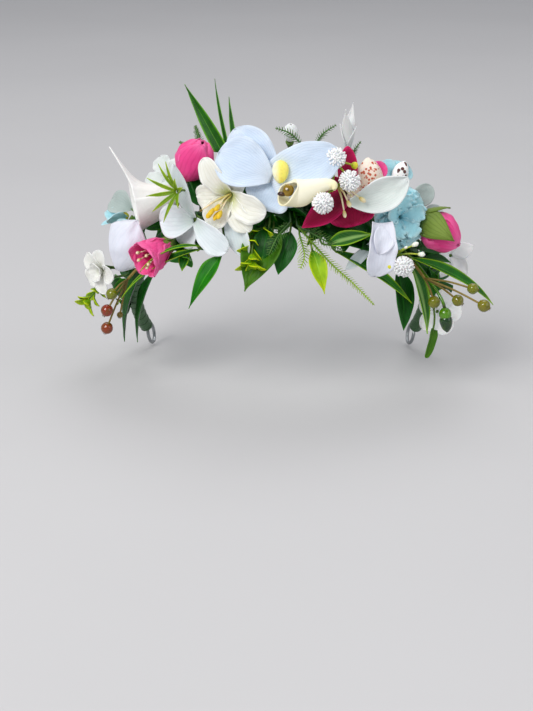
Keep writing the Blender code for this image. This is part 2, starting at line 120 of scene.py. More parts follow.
def axes_facing(facing: Array, upward: Array, spin: float = 0.0) -> Array:
    """Three square directions from the one that a piece faces.

    Args:
        facing: The direction of the piece's own Z.
        upward: The direction that its own Y leans to.
        spin: Degrees turned about facing.

    Returns:
        Rows right, up and facing.
    """
    ahead = unit(np.asarray(facing, float))
    right = unit(np.cross(upward, ahead))
    up = np.cross(ahead, right)
    angle = math.radians(spin)
    return np.array([
        right * math.cos(angle) + up * math.sin(angle),
        up * math.cos(angle) - right * math.sin(angle),
        ahead,
    ])


@dataclass(frozen=True)
class Seat:
    """A piece's own frame: origin in millimetres, and rows right, up and facing."""

    origin: Array
    axes: Array

    def world(self, points: Array) -> Array:
        """Points of the piece's own frame, in the crown's frame."""
        return self.origin + np.asarray(points, float) @ self.axes

    def moved(self, offset: Triple) -> "Seat":
        """The same seat, moved by an offset in its own frame."""
        return Seat(self.world(offset), self.axes)


@dataclass(frozen=True)
class Band:
    """The band's ellipse round the head, and the coordinates that every flower is placed in.

    along is degrees round the band from its front middle, lift is degrees round the band's own section
    from straight outwards towards the top of the head, and reach is millimetres from its centre line.
    """

    side: float
    front: float
    radius: float = TAPE_RADIUS
    tilt: float = BAND_TILT

    @classmethod
    def from_solids(cls) -> "Band":
        """The band as the solid tape's own box gives it."""
        _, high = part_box("tape_wrap")
        side = high[0] / MILLIMETRE - TAPE_RADIUS
        front = (high[2] / MILLIMETRE - TAPE_RADIUS) / math.sin(math.radians(BAND_TILT))
        return cls(side, front)

    @property
    def forward(self) -> Array:
        """Unit vector from the head's middle to the front of the band."""
        return np.array([0.0, -math.cos(math.radians(self.tilt)), math.sin(math.radians(self.tilt))])

    @property
    def crownward(self) -> Array:
        """Unit vector square to the band's plane, towards the top of the head."""
        return np.array([0.0, math.sin(math.radians(self.tilt)), math.cos(math.radians(self.tilt))])

    def point(self, along: Array | float) -> Array:
        """Points on the centre line: side times the sine across, front times the cosine forward."""
        angle = np.radians(np.asarray(along, float))[..., None]
        return SIDEWAYS * self.side * np.sin(angle) + self.forward * self.front * np.cos(angle)

    def outward(self, along: Array | float) -> Array:
        """Unit vectors square to the ellipse, away from the head."""
        angle = np.radians(np.asarray(along, float))[..., None]
        return unit(SIDEWAYS * self.front * np.sin(angle) + self.forward * self.side * np.cos(angle))

    def raised(self, along: Array | float, lift: Array | float) -> Array:
        """Unit vectors at that lift."""
        angle = np.radians(np.asarray(lift, float))[..., None]
        return self.outward(along) * np.cos(angle) + self.crownward * np.sin(angle)

    def place(self, along: Array | float, lift: Array | float, reach: Array | float) -> Array:
        """Points at those band coordinates."""
        return self.point(along) + self.raised(along, lift) * np.asarray(reach, float)[..., None]

    def surface(self, along: float, lift: float) -> Array:
        """Point where a stem leaves the tape."""
        return self.place(along, lift, self.radius + FIT_GAP)

    def seat(self, along: float, lift: float, reach: float, turn: float, tilt: float) -> Seat:
        """A seat at those band coordinates, which looks turn degrees towards +X and tilt degrees up."""
        turn, tilt = math.radians(turn), math.radians(tilt)
        level = math.cos(tilt)
        ahead = np.array([math.sin(turn) * level, -math.cos(turn) * level, math.sin(tilt)])
        return Seat(self.place(along, lift, reach), axes_facing(ahead, UPWARD))

    def stem(self, root: Pair, end: Array, count: int, pull: float, arrival: Array | None = None) -> Array:
        """The curve of a stem that leaves the tape squarely.

        Args:
            root: Along and lift of the place where it leaves.
            end: Where it ends.
            count: Points on it.
            pull: How far its start pulls it outwards.
            arrival: The pull at its end; left out, a quarter of the way from root to end.

        Returns:
            Its points.
        """
        foot = self.surface(*root)
        arrival = (end - foot) / 4 if arrival is None else arrival
        return bezier(foot, foot + self.raised(*root) * pull, end - arrival, end, count)

    def vine(self, path: Sequence[Triple], count: int) -> tuple[Array, Array]:
        """A smooth path through band coordinates, and the same with a straight start from the tape."""
        points = smooth_path(np.array([self.place(*place) for place in path]), count)
        foot = self.surface(*path[0][:2])
        return points, np.concatenate([np.linspace(foot, points[0], 6)[:-1], points])


def bezier(start: Array, start_pull: Array, end_pull: Array, end: Array, count: int) -> Array:
    """Points of a cubic curve: the four control points weighted by s³, 3s²t, 3st² and t³."""
    t = np.linspace(0, 1, count)[:, None]
    s = 1 - t
    return start * s**3 + start_pull * 3 * s * s * t + end_pull * 3 * s * t * t + end * t**3


class Shape:
    """Faces gathered from grids, in millimetres, each with its own map and a shade number."""

    def __init__(self) -> None:
        """Starts with no faces."""
        self.points: list[Array] = []
        self.shades: list[Array] = []
        self.corners: list[Array] = []
        self.sizes: list[Array] = []
        self.maps: list[Array] = []
        self.count = 0

    def _add(self, points: Array, faces: Array, face_maps: Array, shade: float | Array) -> None:
        """Adds points, and faces of one number of corners, with a map place for each corner."""
        self.corners.append((faces + self.count).ravel())
        self.sizes.append(np.full(len(faces), faces.shape[1]))
        self.maps.append(face_maps.reshape(-1, 2))
        self.points.append(points.reshape(-1, 3))
        self.shades.append(np.broadcast_to(np.asarray(shade, float), (len(self.points[-1]),)))
        self.count += len(self.points[-1])

    def grid(self, points: Array, shade: float = 0.5, wrap: bool = False, maps: Array | None = None,
             caps: bool = True) -> "Shape":
        """Adds a surface whose points are a function of two parameters.

        Args:
            points: Array of rows by columns by 3.
            shade: The pattern's shade number for the whole grid.
            wrap: Joins the last column to the first, which makes a solid with the caps.
            maps: Map places, of rows by columns by 2, with one column more if it wraps. Left out, the
                map runs from 0 to 1 across the columns and along the rows.
            caps: Closes both end rows of a wrapped grid.

        Returns:
            This shape.
        """
        rows, columns = points.shape[:2]
        spans = columns if wrap else columns - 1
        if maps is None:
            across, along = np.meshgrid(np.linspace(0, 1, spans + 1), np.linspace(0, 1, rows))
            maps = np.stack([across, along], -1)
        row, column = np.meshgrid(np.arange(rows - 1), np.arange(spans), indexing="ij")
        after = (column + 1) % columns
        faces = np.stack([row * columns + column, row * columns + after,
                          (row + 1) * columns + after, (row + 1) * columns + column], -1).reshape(-1, 4)
        face_maps = np.stack([maps[:-1, :-1], maps[:-1, 1:], maps[1:, 1:], maps[1:, :-1]], 2)
        face_maps = face_maps.reshape(-1, 4, 2)
        flat = points.reshape(-1, 3)
        inside_out = False
        if wrap:
            centred = flat - flat.mean(0)
            a, b, c, d = (centred[faces[:, corner]] for corner in range(4))
            inside_out = (np.einsum("ij,ij->i", a, np.cross(b, c) + np.cross(c, d)).sum()) < 0
        start = self.count
        self._add(flat, faces[:, ::-1] if inside_out else faces,
                  face_maps[:, ::-1] if inside_out else face_maps, shade)
        if wrap and caps:
            first = np.arange(columns)[None, ::-1]
            last = ((rows - 1) * columns + np.arange(columns))[None]
            for ring, map_row in ((first, maps[0, :-1][::-1]), (last, maps[-1, :-1])):
                turned = ring[:, ::-1] if inside_out else ring
                self.corners.append((turned + start).ravel())
                self.sizes.append(np.array([columns]))
                self.maps.append(map_row)
        return self

    def tube(self, path: Array, radii: Array | float, sides: int = 8, shade: float = 0.5) -> "Shape":
        """Adds a round bar: circles square to the path, with those radii.

        Args:
            path: Points along it.
            radii: One radius, or one for each point.
            sides: Corners of each circle.
            shade: The pattern's shade number.

        Returns:
            This shape.
        """
        path = np.asarray(path, float)
        tangent = unit(np.gradient(path, axis=0))
        reference = np.eye(3)[int(np.argmin(np.abs(tangent).mean(0)))]
        across = unit(np.cross(tangent, reference))
        upward = np.cross(across, tangent)
        angle = np.linspace(0, 2 * np.pi, sides, endpoint=False)
        ring = around_path(across, upward, angle[None])
        sizes = np.broadcast_to(np.asarray(radii, float), (len(path),))[:, None, None]
        return self.grid(path[:, None] + ring * sizes, shade, wrap=True)

    def turned(self, seat: Seat, profile: Sequence[Pair], sides: int, shade: float = 0.5,
               smooth: int = 16) -> "Shape":
        """Adds a solid turned about the seat's facing from pairs of radius and height.

        Args:
            seat: Where it stands.
            profile: Radius and height pairs from its foot to its top.
            sides: Corners round it.
            shade: The pattern's shade number.
            smooth: Rows to read the profile at, through a smooth curve.

        Returns:
            This shape.
        """
        rows = smooth_path(np.array(profile, float), smooth)
        radius = np.maximum(rows[:, 0], 0.02)[:, None]
        angle = np.linspace(0, 2 * np.pi, sides, endpoint=False)[None]
        local = np.stack([radius * np.cos(angle), radius * np.sin(angle),
                          np.broadcast_to(rows[:, 1][:, None], (len(rows), sides))], -1)
        return self.grid(seat.world(local), shade, wrap=True)

    def ball(self, centre: Array, radii: float | Sequence[float], axes: Array | None = None, sides: int = 14,
             rows: int = 9, shade: float = 0.5) -> "Shape":
        """Adds an ellipsoid: circles of the sine of the height's angle, with those three radii."""
        angle = np.linspace(0.02, np.pi - 0.02, rows)
        profile = np.stack([np.sin(angle), -np.cos(angle)], -1)
        around = np.linspace(0, 2 * np.pi, sides, endpoint=False)[None]
        local = np.stack([profile[:, :1] * np.cos(around), profile[:, :1] * np.sin(around),
                          np.broadcast_to(profile[:, 1:], (rows, sides))], -1)
        local = local * np.broadcast_to(np.asarray(radii, float), (3,))
        turned = local @ (np.eye(3) if axes is None else axes)
        return self.grid(np.asarray(centre, float) + turned, shade, wrap=True)

    def spikes(self, roots: Array, tips: Array, root_radius: float | Array, tip_radius: float | Array,
               shade: float | Array = 0.5) -> "Shape":
        """Adds many small four-sided spikes, each from its root to its tip.

        Args:
            roots: One point for each spike.
            tips: One point for each spike.
            root_radius: Half width at the root.
            tip_radius: Half width at the tip.
            shade: The pattern's shade number, one or one for each spike.

        Returns:
            This shape.
        """
        count = len(roots)
        along = unit(tips - roots)
        helper = np.where(np.abs(along[:, 2:]) < 0.9, UPWARD, SIDEWAYS)
        across = unit(np.cross(along, helper))
        upward = np.cross(along, across)
        root_size = np.broadcast_to(np.asarray(root_radius, float), (count,))[:, None, None]
        tip_size = np.broadcast_to(np.asarray(tip_radius, float), (count,))[:, None, None]
        ring = np.stack([across, upward, -across, -upward], 1)
        points = np.concatenate([roots[:, None] + ring * root_size, tips[:, None] + ring * tip_size], 1)
        pattern = np.array([[0, 1, 5, 4], [1, 2, 6, 5], [2, 3, 7, 6], [3, 0, 4, 7], [4, 5, 6, 7],
                            [3, 2, 1, 0]])
        faces = (np.arange(count)[:, None, None] * 8 + pattern).reshape(-1, 4)
        heights = np.array([0.0, 0.0, 0.0, 0.0, 1.0, 1.0, 1.0, 1.0])
        face_maps = np.stack([np.full(pattern.shape, 0.5), heights[pattern]], -1)
        shades = np.repeat(np.broadcast_to(np.asarray(shade, float), (count,)), 8)
        self._add(points, faces, np.broadcast_to(face_maps, (count, *face_maps.shape)), shades)
        return self

    def mesh(self, name: str) -> bpy.types.Mesh:
        """The gathered faces as a mesh in metres."""
        mesh = bpy.data.meshes.new(name)
        points = np.concatenate(self.points) * MILLIMETRE
        corners = np.concatenate(self.corners)
        sizes = np.concatenate(self.sizes)
        mesh.vertices.add(len(points))
        mesh.loops.add(len(corners))
        mesh.polygons.add(len(sizes))
        mesh.vertices.foreach_set("co", points.ravel())
        mesh.loops.foreach_set("vertex_index", corners)
        mesh.polygons.foreach_set("loop_start", np.concatenate([[0], np.cumsum(sizes)[:-1]]))
        mesh.polygons.foreach_set("loop_total", sizes)
        mesh.update(calc_edges=True)
        mesh.uv_layers.new(name="UVMap").data.foreach_set("uv", np.concatenate(self.maps).ravel())
        shades = mesh.attributes.new("shade", "FLOAT", "POINT")
        shades.data.foreach_set("value", np.concatenate(self.shades))
        mesh.shade_smooth()
        return mesh


def smooth_path(points: Array, count: int) -> Array:
    """Reads a path at count places through a smooth curve.

    Each span is the cubic whose slope at a point is half the step between the point's two neighbours.
    """
    points = np.asarray(points, float)
    padded = np.concatenate([2 * points[:1] - points[1:2], points, 2 * points[-1:] - points[-2:-1]])
    place = np.linspace(0, len(points) - 1, count)
    span = np.minimum(place.astype(int), len(points) - 2)
    t = (place - span)[:, None]
    before, start, end, after = (padded[span + shift] for shift in range(4))
    return (start + t * 0.5 * (end - before)
            + t**2 * (before - 2.5 * start + 2 * end - 0.5 * after)
            + t**3 * (1.5 * (start - end) + 0.5 * (after - before)))


@dataclass(frozen=True)
class Blade:
    """A petal or leaf, as a surface over u from -1 to 1 across and v from 0 at its base to 1 at its tip.

    Its midline leaves the base at rise degrees above its own plane and turns back by bend times v.
    Its half width grows from base to full at widest by a quarter sine, and falls to the tip as a
    quarter cosine to the power tip: 0.5 gives a round tip and 1 a point. It is rolled across into an arc of
    roll degrees each way, given at the base and the tip. A fold lifts both edges straight, a ruffle waves
    them, a twist turns its section, and a sweep bends its midline sideways.
    """

    direction: float
    length: float
    width: float
    rise: float = 20.0
    bend: float = 20.0
    roll: Pair = (45.0, 20.0)
    fold: float = 0.0
    ruffle: float = 0.0
    waves: float = 3.0
    twist: float = 0.0
    sweep: float = 0.0
    base: float = 0.22
    widest: float = 0.6
    tip: float = 0.5
    start: float = 1.0
    height: float = 0.0
    rows: int = 22
    columns: int = 13

    def surface(self, seed: int = 0) -> Array:
        """Points of rows by columns by 3: X along the blade, Y across it and Z out of its upper face."""
        rng = np.random.default_rng(seed)
        phase = rng.uniform(0, 2 * np.pi, 6)
        steps = np.linspace(0, 1, self.rows)
        v = 0.35 * steps + 0.65 * np.sin(np.pi / 2 * steps)
        u = np.linspace(-1, 1, self.columns)[None]
        growing = self.base + (1 - self.base) * np.sin(np.pi / 2 * np.minimum(v / self.widest, 1))
        falling = np.cos(np.pi / 2 * np.clip((v - self.widest) / (1 - self.widest), 0, 1))
        outline = np.where(v < self.widest, growing, np.maximum(falling, 1e-6) ** self.tip)
        half = (self.width / 2 * np.maximum(outline, 0.015))[:, None]
        climb = np.radians(self.rise - self.bend * v)
        swing = np.radians(self.sweep) * v
        ahead = np.stack([np.cos(climb) * np.cos(swing), np.cos(climb) * np.sin(swing), np.sin(climb)], -1)
        stride = np.diff(v)[:, None] * self.length * (ahead[1:] + ahead[:-1]) / 2
        middle = np.concatenate([np.zeros((1, 3)), np.cumsum(stride, 0)])
        outward = np.stack([-np.sin(climb) * np.cos(swing), -np.sin(climb) * np.sin(swing),
                            np.cos(climb)], -1)
        across = np.cross(outward, ahead)
        turn = (np.radians(self.twist) * v)[:, None]
        across, outward = (across * np.cos(turn) + outward * np.sin(turn),
                           outward * np.cos(turn) - across * np.sin(turn))
        arc = np.radians(self.roll[0] + (self.roll[1] - self.roll[0]) * v)[:, None]
        arc = np.where(np.abs(arc) < 1e-3, 1e-3, arc)
        sideways = half * np.sin(arc * u) / arc
        lifted = half * (1 - np.cos(arc * u)) / arc
        lifted = lifted + self.fold * half * (np.sqrt(u**2 + 0.004) - 0.063)
        wave = np.sin(2 * np.pi * self.waves * v[:, None] + phase[0] + np.sign(u) * phase[1])
        lifted = lifted + self.ruffle * half * np.abs(u) ** 2.5 * wave * np.minimum(v[:, None] * 3, 1)
        creases = np.sin(5 * u + phase[2] + 3 * v[:, None]) * np.sin(8 * v[:, None] + phase[3])
        creases = creases + 0.5 * np.sin(11 * u + phase[4]) * np.sin(17 * v[:, None] + phase[5])
        lifted = lifted + CRUMPLE * self.width * creases * np.minimum(v[:, None] * 3, 1)
        section = across[:, None] * sideways[..., None] + outward[:, None] * lifted[..., None]
        return middle[:, None] + section

    def in_flower(self, seed: int = 0) -> Array:
        """The surface turned to its direction about the flower's facing, start away from it."""
        local = self.surface(seed) + np.array([self.start, 0.0, self.height])
        angle = math.radians(self.direction)
        cos, sin = math.cos(angle), math.sin(angle)
        return local @ np.array([[cos, sin, 0], [-sin, cos, 0], [0, 0, 1]])

    def between(self, start: Array, end: Array, outward: Array, seed: int = 0) -> Array:
        """The surface laid so that its midline runs from start to end, its upper face towards outward."""
        local = replace(self, length=float(np.linalg.norm(end - start))).surface(seed)
        middle = local[:, self.columns // 2]
        chord = middle[-1] - middle[0]

        def square(ahead: Array, up: Array) -> Array:
            """Rows along, across and up."""
            first = unit(ahead)
            third = unit(up - first * (up @ first))
            return np.array([first, np.cross(third, first), third])

        own = square(chord, UPWARD)
        target = square(end - start, outward)
        scale = np.linalg.norm(end - start) / np.linalg.norm(chord)
        sizes = np.array([scale, 1.0, 1.0])
        return start + ((local - middle[0]) @ own.T * sizes) @ target


# ---- finishes ----------------------------------------------------------------------------------


class Value:
    """A number inside a material, with Python's own operators: each one adds a Math node."""

    def __init__(self, graph: "Graph", socket: bpy.types.NodeSocket) -> None:
        """Wraps a socket of graph."""
        self.graph = graph
        self.socket = socket

    def math(self, operation: str, *others: "Value | float", reflected: bool = False) -> "Value":
        """A Math node of this value and the others.

        Args:
            operation: The node's operation.
            others: Its other inputs.
            reflected: Puts this value last.

        Returns:
            The node's result.
        """
        inputs = [*others, self] if reflected else [self, *others]
        socket = self.graph.node("ShaderNodeMath", {"operation": operation}, dict(enumerate(inputs)))
        return Value(self.graph, socket)

    def __add__(self, other: "Value | float") -> "Value":
        """self + other."""
        return self.math("ADD", other)

    def __sub__(self, other: "Value | float") -> "Value":
        """self - other."""
        return self.math("SUBTRACT", other)

    def __rsub__(self, other: float) -> "Value":
        """other - self."""
        return self.math("SUBTRACT", other, reflected=True)

    def __mul__(self, other: "Value | float") -> "Value":
        """self * other."""
        return self.math("MULTIPLY", other)

    def __pow__(self, power: float) -> "Value":
        """self to that power."""
        return self.math("POWER", power)

    def __abs__(self) -> "Value":
        """Size of self."""
        return self.math("ABSOLUTE")

    def sine(self) -> "Value":
        """Sine of self, in radians."""
        return self.math("SINE")

    def part(self) -> "Value":
        """What is left of self past the whole number below it."""
        return self.math("FRACT")

    def larger(self, other: "Value | float") -> "Value":
        """The larger of the two."""
        return self.math("MAXIMUM", other)

    def smaller(self, other: "Value | float") -> "Value":
        """The smaller of the two."""
        return self.math("MINIMUM", other)

    def step(self, low: float, high: float) -> "Value":
        """0 below low, 1 above high, and a smooth rise between; with high below low, the reverse."""
        socket = self.graph.node("ShaderNodeMapRange", {"interpolation_type": "SMOOTHSTEP"},
                                 {0: self, 1: low, 2: high, 3: 0.0, 4: 1.0})
        return Value(self.graph, socket)


class Graph:
    """One material's nodes, ending in its Principled shader."""

    def __init__(self, name: str) -> None:
        """Makes an empty material of that name."""
        self.material = bpy.data.materials.new(name)
        self.material.use_nodes = True
        self.tree = self.material.node_tree
        self.shader = self.tree.nodes["Principled BSDF"]

    def node(self, kind: str, settings: Mapping[str, object], inputs: Mapping[int | str, object],
             output: int | str = 0) -> bpy.types.NodeSocket:
        """Adds any node.

        Args:
            kind: The node's type.
            settings: Properties of the node, set first.
            inputs: Values or links by socket name or number.
            output: The socket to give back.

        Returns:
            The output socket.
        """
        made = self.tree.nodes.new(kind)
        for key, setting in settings.items():
            setattr(made, key, setting)
        for key, given in inputs.items():
            self.feed(made.inputs[key], given)
        return made.outputs[output]

    def feed(self, socket: bpy.types.NodeSocket, given: object) -> None:
        """Links or sets a socket."""
        if isinstance(given, Value):
            self.tree.links.new(given.socket, socket)
        elif isinstance(given, bpy.types.NodeSocket):
            self.tree.links.new(given, socket)
        elif isinstance(given, tuple) and socket.type == "RGBA":
            socket.default_value = (*given, 1.0)
        else:
            socket.default_value = given

    def surface(self, **values: object) -> None:
        """Sets or links the shader's own sockets, named with underscores for spaces."""
        for name, given in values.items():
            self.feed(self.shader.inputs[name.replace("_", " ")], given)

    def map(self) -> tuple[Value, Value]:
        """The piece's own map: across and along."""
        place = self.node("ShaderNodeUVMap", {"uv_map": "UVMap"}, {})
        split = self.tree.nodes.new("ShaderNodeSeparateXYZ")
        self.feed(split.inputs[0], place)
        return Value(self, split.outputs[0]), Value(self, split.outputs[1])

    def shade(self) -> Value:
        """The piece's shade number."""
        return Value(self, self.node("ShaderNodeAttribute", {"attribute_name": "shade"}, {}, "Fac"))

    def place(self) -> bpy.types.NodeSocket:
        """Where a point is on the object."""
        return self.node("ShaderNodeTexCoord", {}, {}, "Object")

    def vector(self, x: "Value | float", y: "Value | float", z: "Value | float") -> bpy.types.NodeSocket:
        """A vector from three numbers."""
        return self.node("ShaderNodeCombineXYZ", {}, {0: x, 1: y, 2: z})

    def noise(self, scale: float, detail: float = 2.0, place: bpy.types.NodeSocket | None = None) -> Value:
        """Smooth random pattern from 0 to 1, scale cycles to the metre."""
        where = place if place is not None else self.place()
        socket = self.node("ShaderNodeTexNoise", {}, {"Vector": where, "Scale": scale, "Detail": detail},
                           "Fac")
        return Value(self, socket)

    def mix(self, share: Value, first: object, second: object) -> bpy.types.NodeSocket:
        """The first colour, turned into the second by share."""
        return self.node("ShaderNodeMix", {"data_type": "RGBA", "clamp_factor": True},
                         {0: share, 6: first, 7: second}, 2)

    def bump(self, height: Value, depth: float) -> None:
        """Relief of that height pattern, depth millimetres deep."""
        relief = self.node("ShaderNodeBump", {},
                           {"Height": height, "Distance": depth * MILLIMETRE, "Strength": 1.0})
        self.feed(self.shader.inputs["Normal"], relief)


def scaled(colour: Colour, factor: float) -> Colour:
    """The colour made lighter or darker."""
    return tuple(min(part * factor, 1.0) for part in colour)


@dataclass(frozen=True)
class Silk:
    """Dyed petal cloth: throat, body and rim colours, fine pressed veins and a faint weave."""

    name: str
    throat: Colour
    body: Colour
    rim: Colour
    vein: Colour
    throat_end: float = 0.35
    rim_start: float = 0.6
    veins: float = 15.0
    vein_strength: float = 0.25
    roughness: float = 0.55
    glow: float = 0.12
    relief: float = 0.12

    def material(self) -> bpy.types.Material:
        """Builds the nodes."""
        g = Graph(self.name)
        across, along = g.map()
        off = abs(across * 2 - 1)
        drift = g.noise(160.0, 2.0) - 0.5
        fan = (across + drift * 0.10) * (self.veins * 2 * math.pi)
        line = (fan.sine() * 0.5 + 0.5) ** 5.0
        forked = ((fan * 2 + drift * 3).sine() * 0.5 + 0.5) ** 4.0 * along.step(0.35, 0.7)
        vein = (line * (1 - along * 0.5) + forked * 0.4).smaller(1.0)
        colour = g.mix(along.step(0.0, self.throat_end), self.throat, self.body)
        rim = (off**3.0 * 0.8).larger(along.step(self.rim_start, 1.0))
        colour = g.mix(rim, colour, self.rim)
        colour = g.mix(vein * self.vein_strength, colour, self.vein)
        tone = (g.shade() - 0.5) * 0.5 + (g.noise(90.0, 3.0) - 0.5) * 0.35
        colour = g.mix(tone.step(0.0, 0.5) * 0.35, colour, scaled(self.body, 0.72))
        g.surface(Base_Color=colour, Roughness=g.noise(400.0) * 0.12 + (self.roughness - 0.06),
                  Subsurface_Weight=self.glow, Subsurface_Radius=(1.0, 0.8, 0.8), Subsurface_Scale=0.0015,
                  Sheen_Weight=0.05, Sheen_Roughness=0.5, Specular_IOR_Level=0.2)
        weave = g.noise(2600.0, 1.0)
        g.bump(vein * -0.7 + weave * 0.25 + g.noise(280.0, 3.0) * 0.9, self.relief)
        return g.material


@dataclass(frozen=True)
class GlossLeaf:
    """Moulded leaf: dark at its base, lighter towards its tip, a pale midrib and ribs that run with it."""

    name: str
    dark: Colour
    light: Colour
    tip: Colour
    rib: Colour
    tip_start: float = 0.7
    ribs: float = 7.0
    slant: float = 0.0
    rib_strength: float = 0.25
    edge: float = 0.35
    stripe: float = 0.0
    roughness: float = 0.36
    relief: float = 0.15

    def material(self) -> bpy.types.Material:
        """Builds the nodes."""
        g = Graph(self.name)
        across, along = g.map()
        off = abs(across * 2 - 1)
        cloud = g.noise(120.0, 3.0)
        run = (along * self.slant - off * (self.ribs if self.slant else -self.ribs)) * (2 * math.pi)
        ribs = (run.sine() * 0.5 + 0.5) ** 3.0
        midrib = off.step(0.10, 0.02)
        colour = g.mix(cloud.step(0.35, 0.7) * 0.6 + along * 0.3, self.dark, self.light)
        colour = g.mix(off.step(0.72, 1.0) * self.edge, colour, self.tip)
        colour = g.mix(along.step(self.tip_start, 1.0), colour, self.tip)
        colour = g.mix(ribs * self.rib_strength, colour, self.rib)
        colour = g.mix((midrib * 0.55).larger(off.step(0.42, 0.10) * self.stripe), colour, self.rib)
        tone = g.shade().step(0.5, 1.0)
        colour = g.mix(tone * 0.5, colour, scaled(self.dark, 0.45))
        g.surface(Base_Color=colour, Roughness=g.noise(300.0) * 0.16 + (self.roughness - 0.08),
                  Subsurface_Weight=0.06, Subsurface_Scale=0.001, Specular_IOR_Level=0.22)
        g.bump(ribs * 0.5 - midrib * 0.9 + g.noise(700.0, 2.0) * 0.35, self.relief)
        return g.material


@dataclass(frozen=True)
class Spotted:
    """Orchid lip: pale plastic with printed spots that crowd towards one part of it."""

    name: str
    body: Colour
    blush: Colour
    spot: Colour
    spots: float = 520.0
    size: float = 0.42
    roughness: float = 0.4

    def material(self) -> bpy.types.Material:
        """Builds the nodes."""
        g = Graph(self.name)
        across, along = g.map()
        cell = g.node("ShaderNodeTexVoronoi", {},
                      {"Vector": g.place(), "Scale": self.spots, "Randomness": 0.9}, "Distance")
        wide = g.noise(260.0, 2.0)
        middle = abs(across * 2 - 1).step(0.85, 0.35) * along.step(0.12, 0.3) * along.step(0.97, 0.8)
        spot = Value(g, cell).step(self.size, self.size - 0.12) * (middle + wide * 0.5).step(0.62, 0.8)
        colour = g.mix(along.step(0.75, 0.1) * 0.6 + wide * 0.2, self.body, self.blush)
        colour = g.mix(spot, colour, self.spot)
        g.surface(Base_Color=colour, Roughness=wide * 0.1 + self.roughness,
                  Subsurface_Weight=0.15, Subsurface_Scale=0.0015)
        g.bump(wide + spot * 0.4, 0.12)
        return g.material


@dataclass(frozen=True)
class Moulded:
    """Plain moulded or wrapped stuff, from one colour at its foot to another at its tip."""

    name: str
    foot: Colour
    end: Colour
    roughness: float = 0.5
    change: Pair = (0.2, 0.8)
    grain: float = 500.0
    relief: float = 0.1
    coat: float = 0.0
    metal: float = 0.0
    glow: float = 0.05

    def material(self) -> bpy.types.Material:
        """Builds the nodes."""
        g = Graph(self.name)
        _, along = g.map()
        cloud = g.noise(self.grain, 3.0)
        colour = g.mix(along.step(*self.change), self.foot, self.end)
        colour = g.mix(cloud.step(0.45, 0.75) * 0.4, colour, scaled(self.foot, 0.7))
        colour = g.mix(g.shade().step(0.5, 1.0) * 0.6, colour, scaled(self.foot, 0.55))
        g.surface(Base_Color=colour, Roughness=cloud * 0.15 + (self.roughness - 0.07), Metallic=self.metal,
                  Coat_Weight=self.coat, Coat_Roughness=0.08, Subsurface_Weight=self.glow,
                  Subsurface_Scale=0.001)
        g.bump(cloud, self.relief)
        return g.material


@dataclass(frozen=True)
class Glazed:
    """Clear-coated berry: its shade number turns it from the first colour to the second."""

    name: str
    first: Colour
    second: Colour

    def material(self) -> bpy.types.Material:
        """Builds the nodes."""
        g = Graph(self.name)
        _, along = g.map()
        cloud = g.noise(330.0, 3.0)
        colour = g.mix(g.shade(), self.first, self.second)
        colour = g.mix(cloud.step(0.42, 0.72) * 0.55, colour, scaled(self.first, 0.45))
        colour = g.mix(along.step(0.88, 0.99) * 0.8, colour, dye(45, 32, 10))
        g.surface(Base_Color=colour, Roughness=cloud * 0.1 + 0.08, Coat_Weight=0.5, Coat_Roughness=0.03,
                  Subsurface_Weight=0.2, Subsurface_Scale=0.0015, Specular_IOR_Level=0.4)
        g.bump(cloud, 0.05)
        return g.material


@dataclass(frozen=True)
class CrepeTape:
    """Stretched floral tape: fine creases with painted shade in them, and painted shade where each turn
    overlaps the last.
    """

    name: str
    body: Colour
    shadow: Colour
    turns: float

    def material(self) -> bpy.types.Material:
        """Builds the nodes."""
        g = Graph(self.name)
        across, along = g.map()
        wind = (along * self.turns + across).part()
        shaded_overlap = wind.step(0.10, 0.0).larger(wind.step(0.97, 1.0))
        crease = g.noise(60.0, 4.0, g.vector(across * 0.9, along * 9.0, wind * 0.05))
        # painted shade: the creases' hollows take the shadow colour
        colour = g.mix(crease.step(0.3, 0.75), self.shadow, self.body)
        # a line of painted shade at the step where each turn overlaps the last
        colour = g.mix(shaded_overlap * 0.7, colour, scaled(self.shadow, 0.5))
        g.surface(Base_Color=colour, Roughness=crease * 0.2 + 0.62, Sheen_Weight=0.2)
        g.bump(crease * 0.8 - shaded_overlap, 0.25)
        return g.material


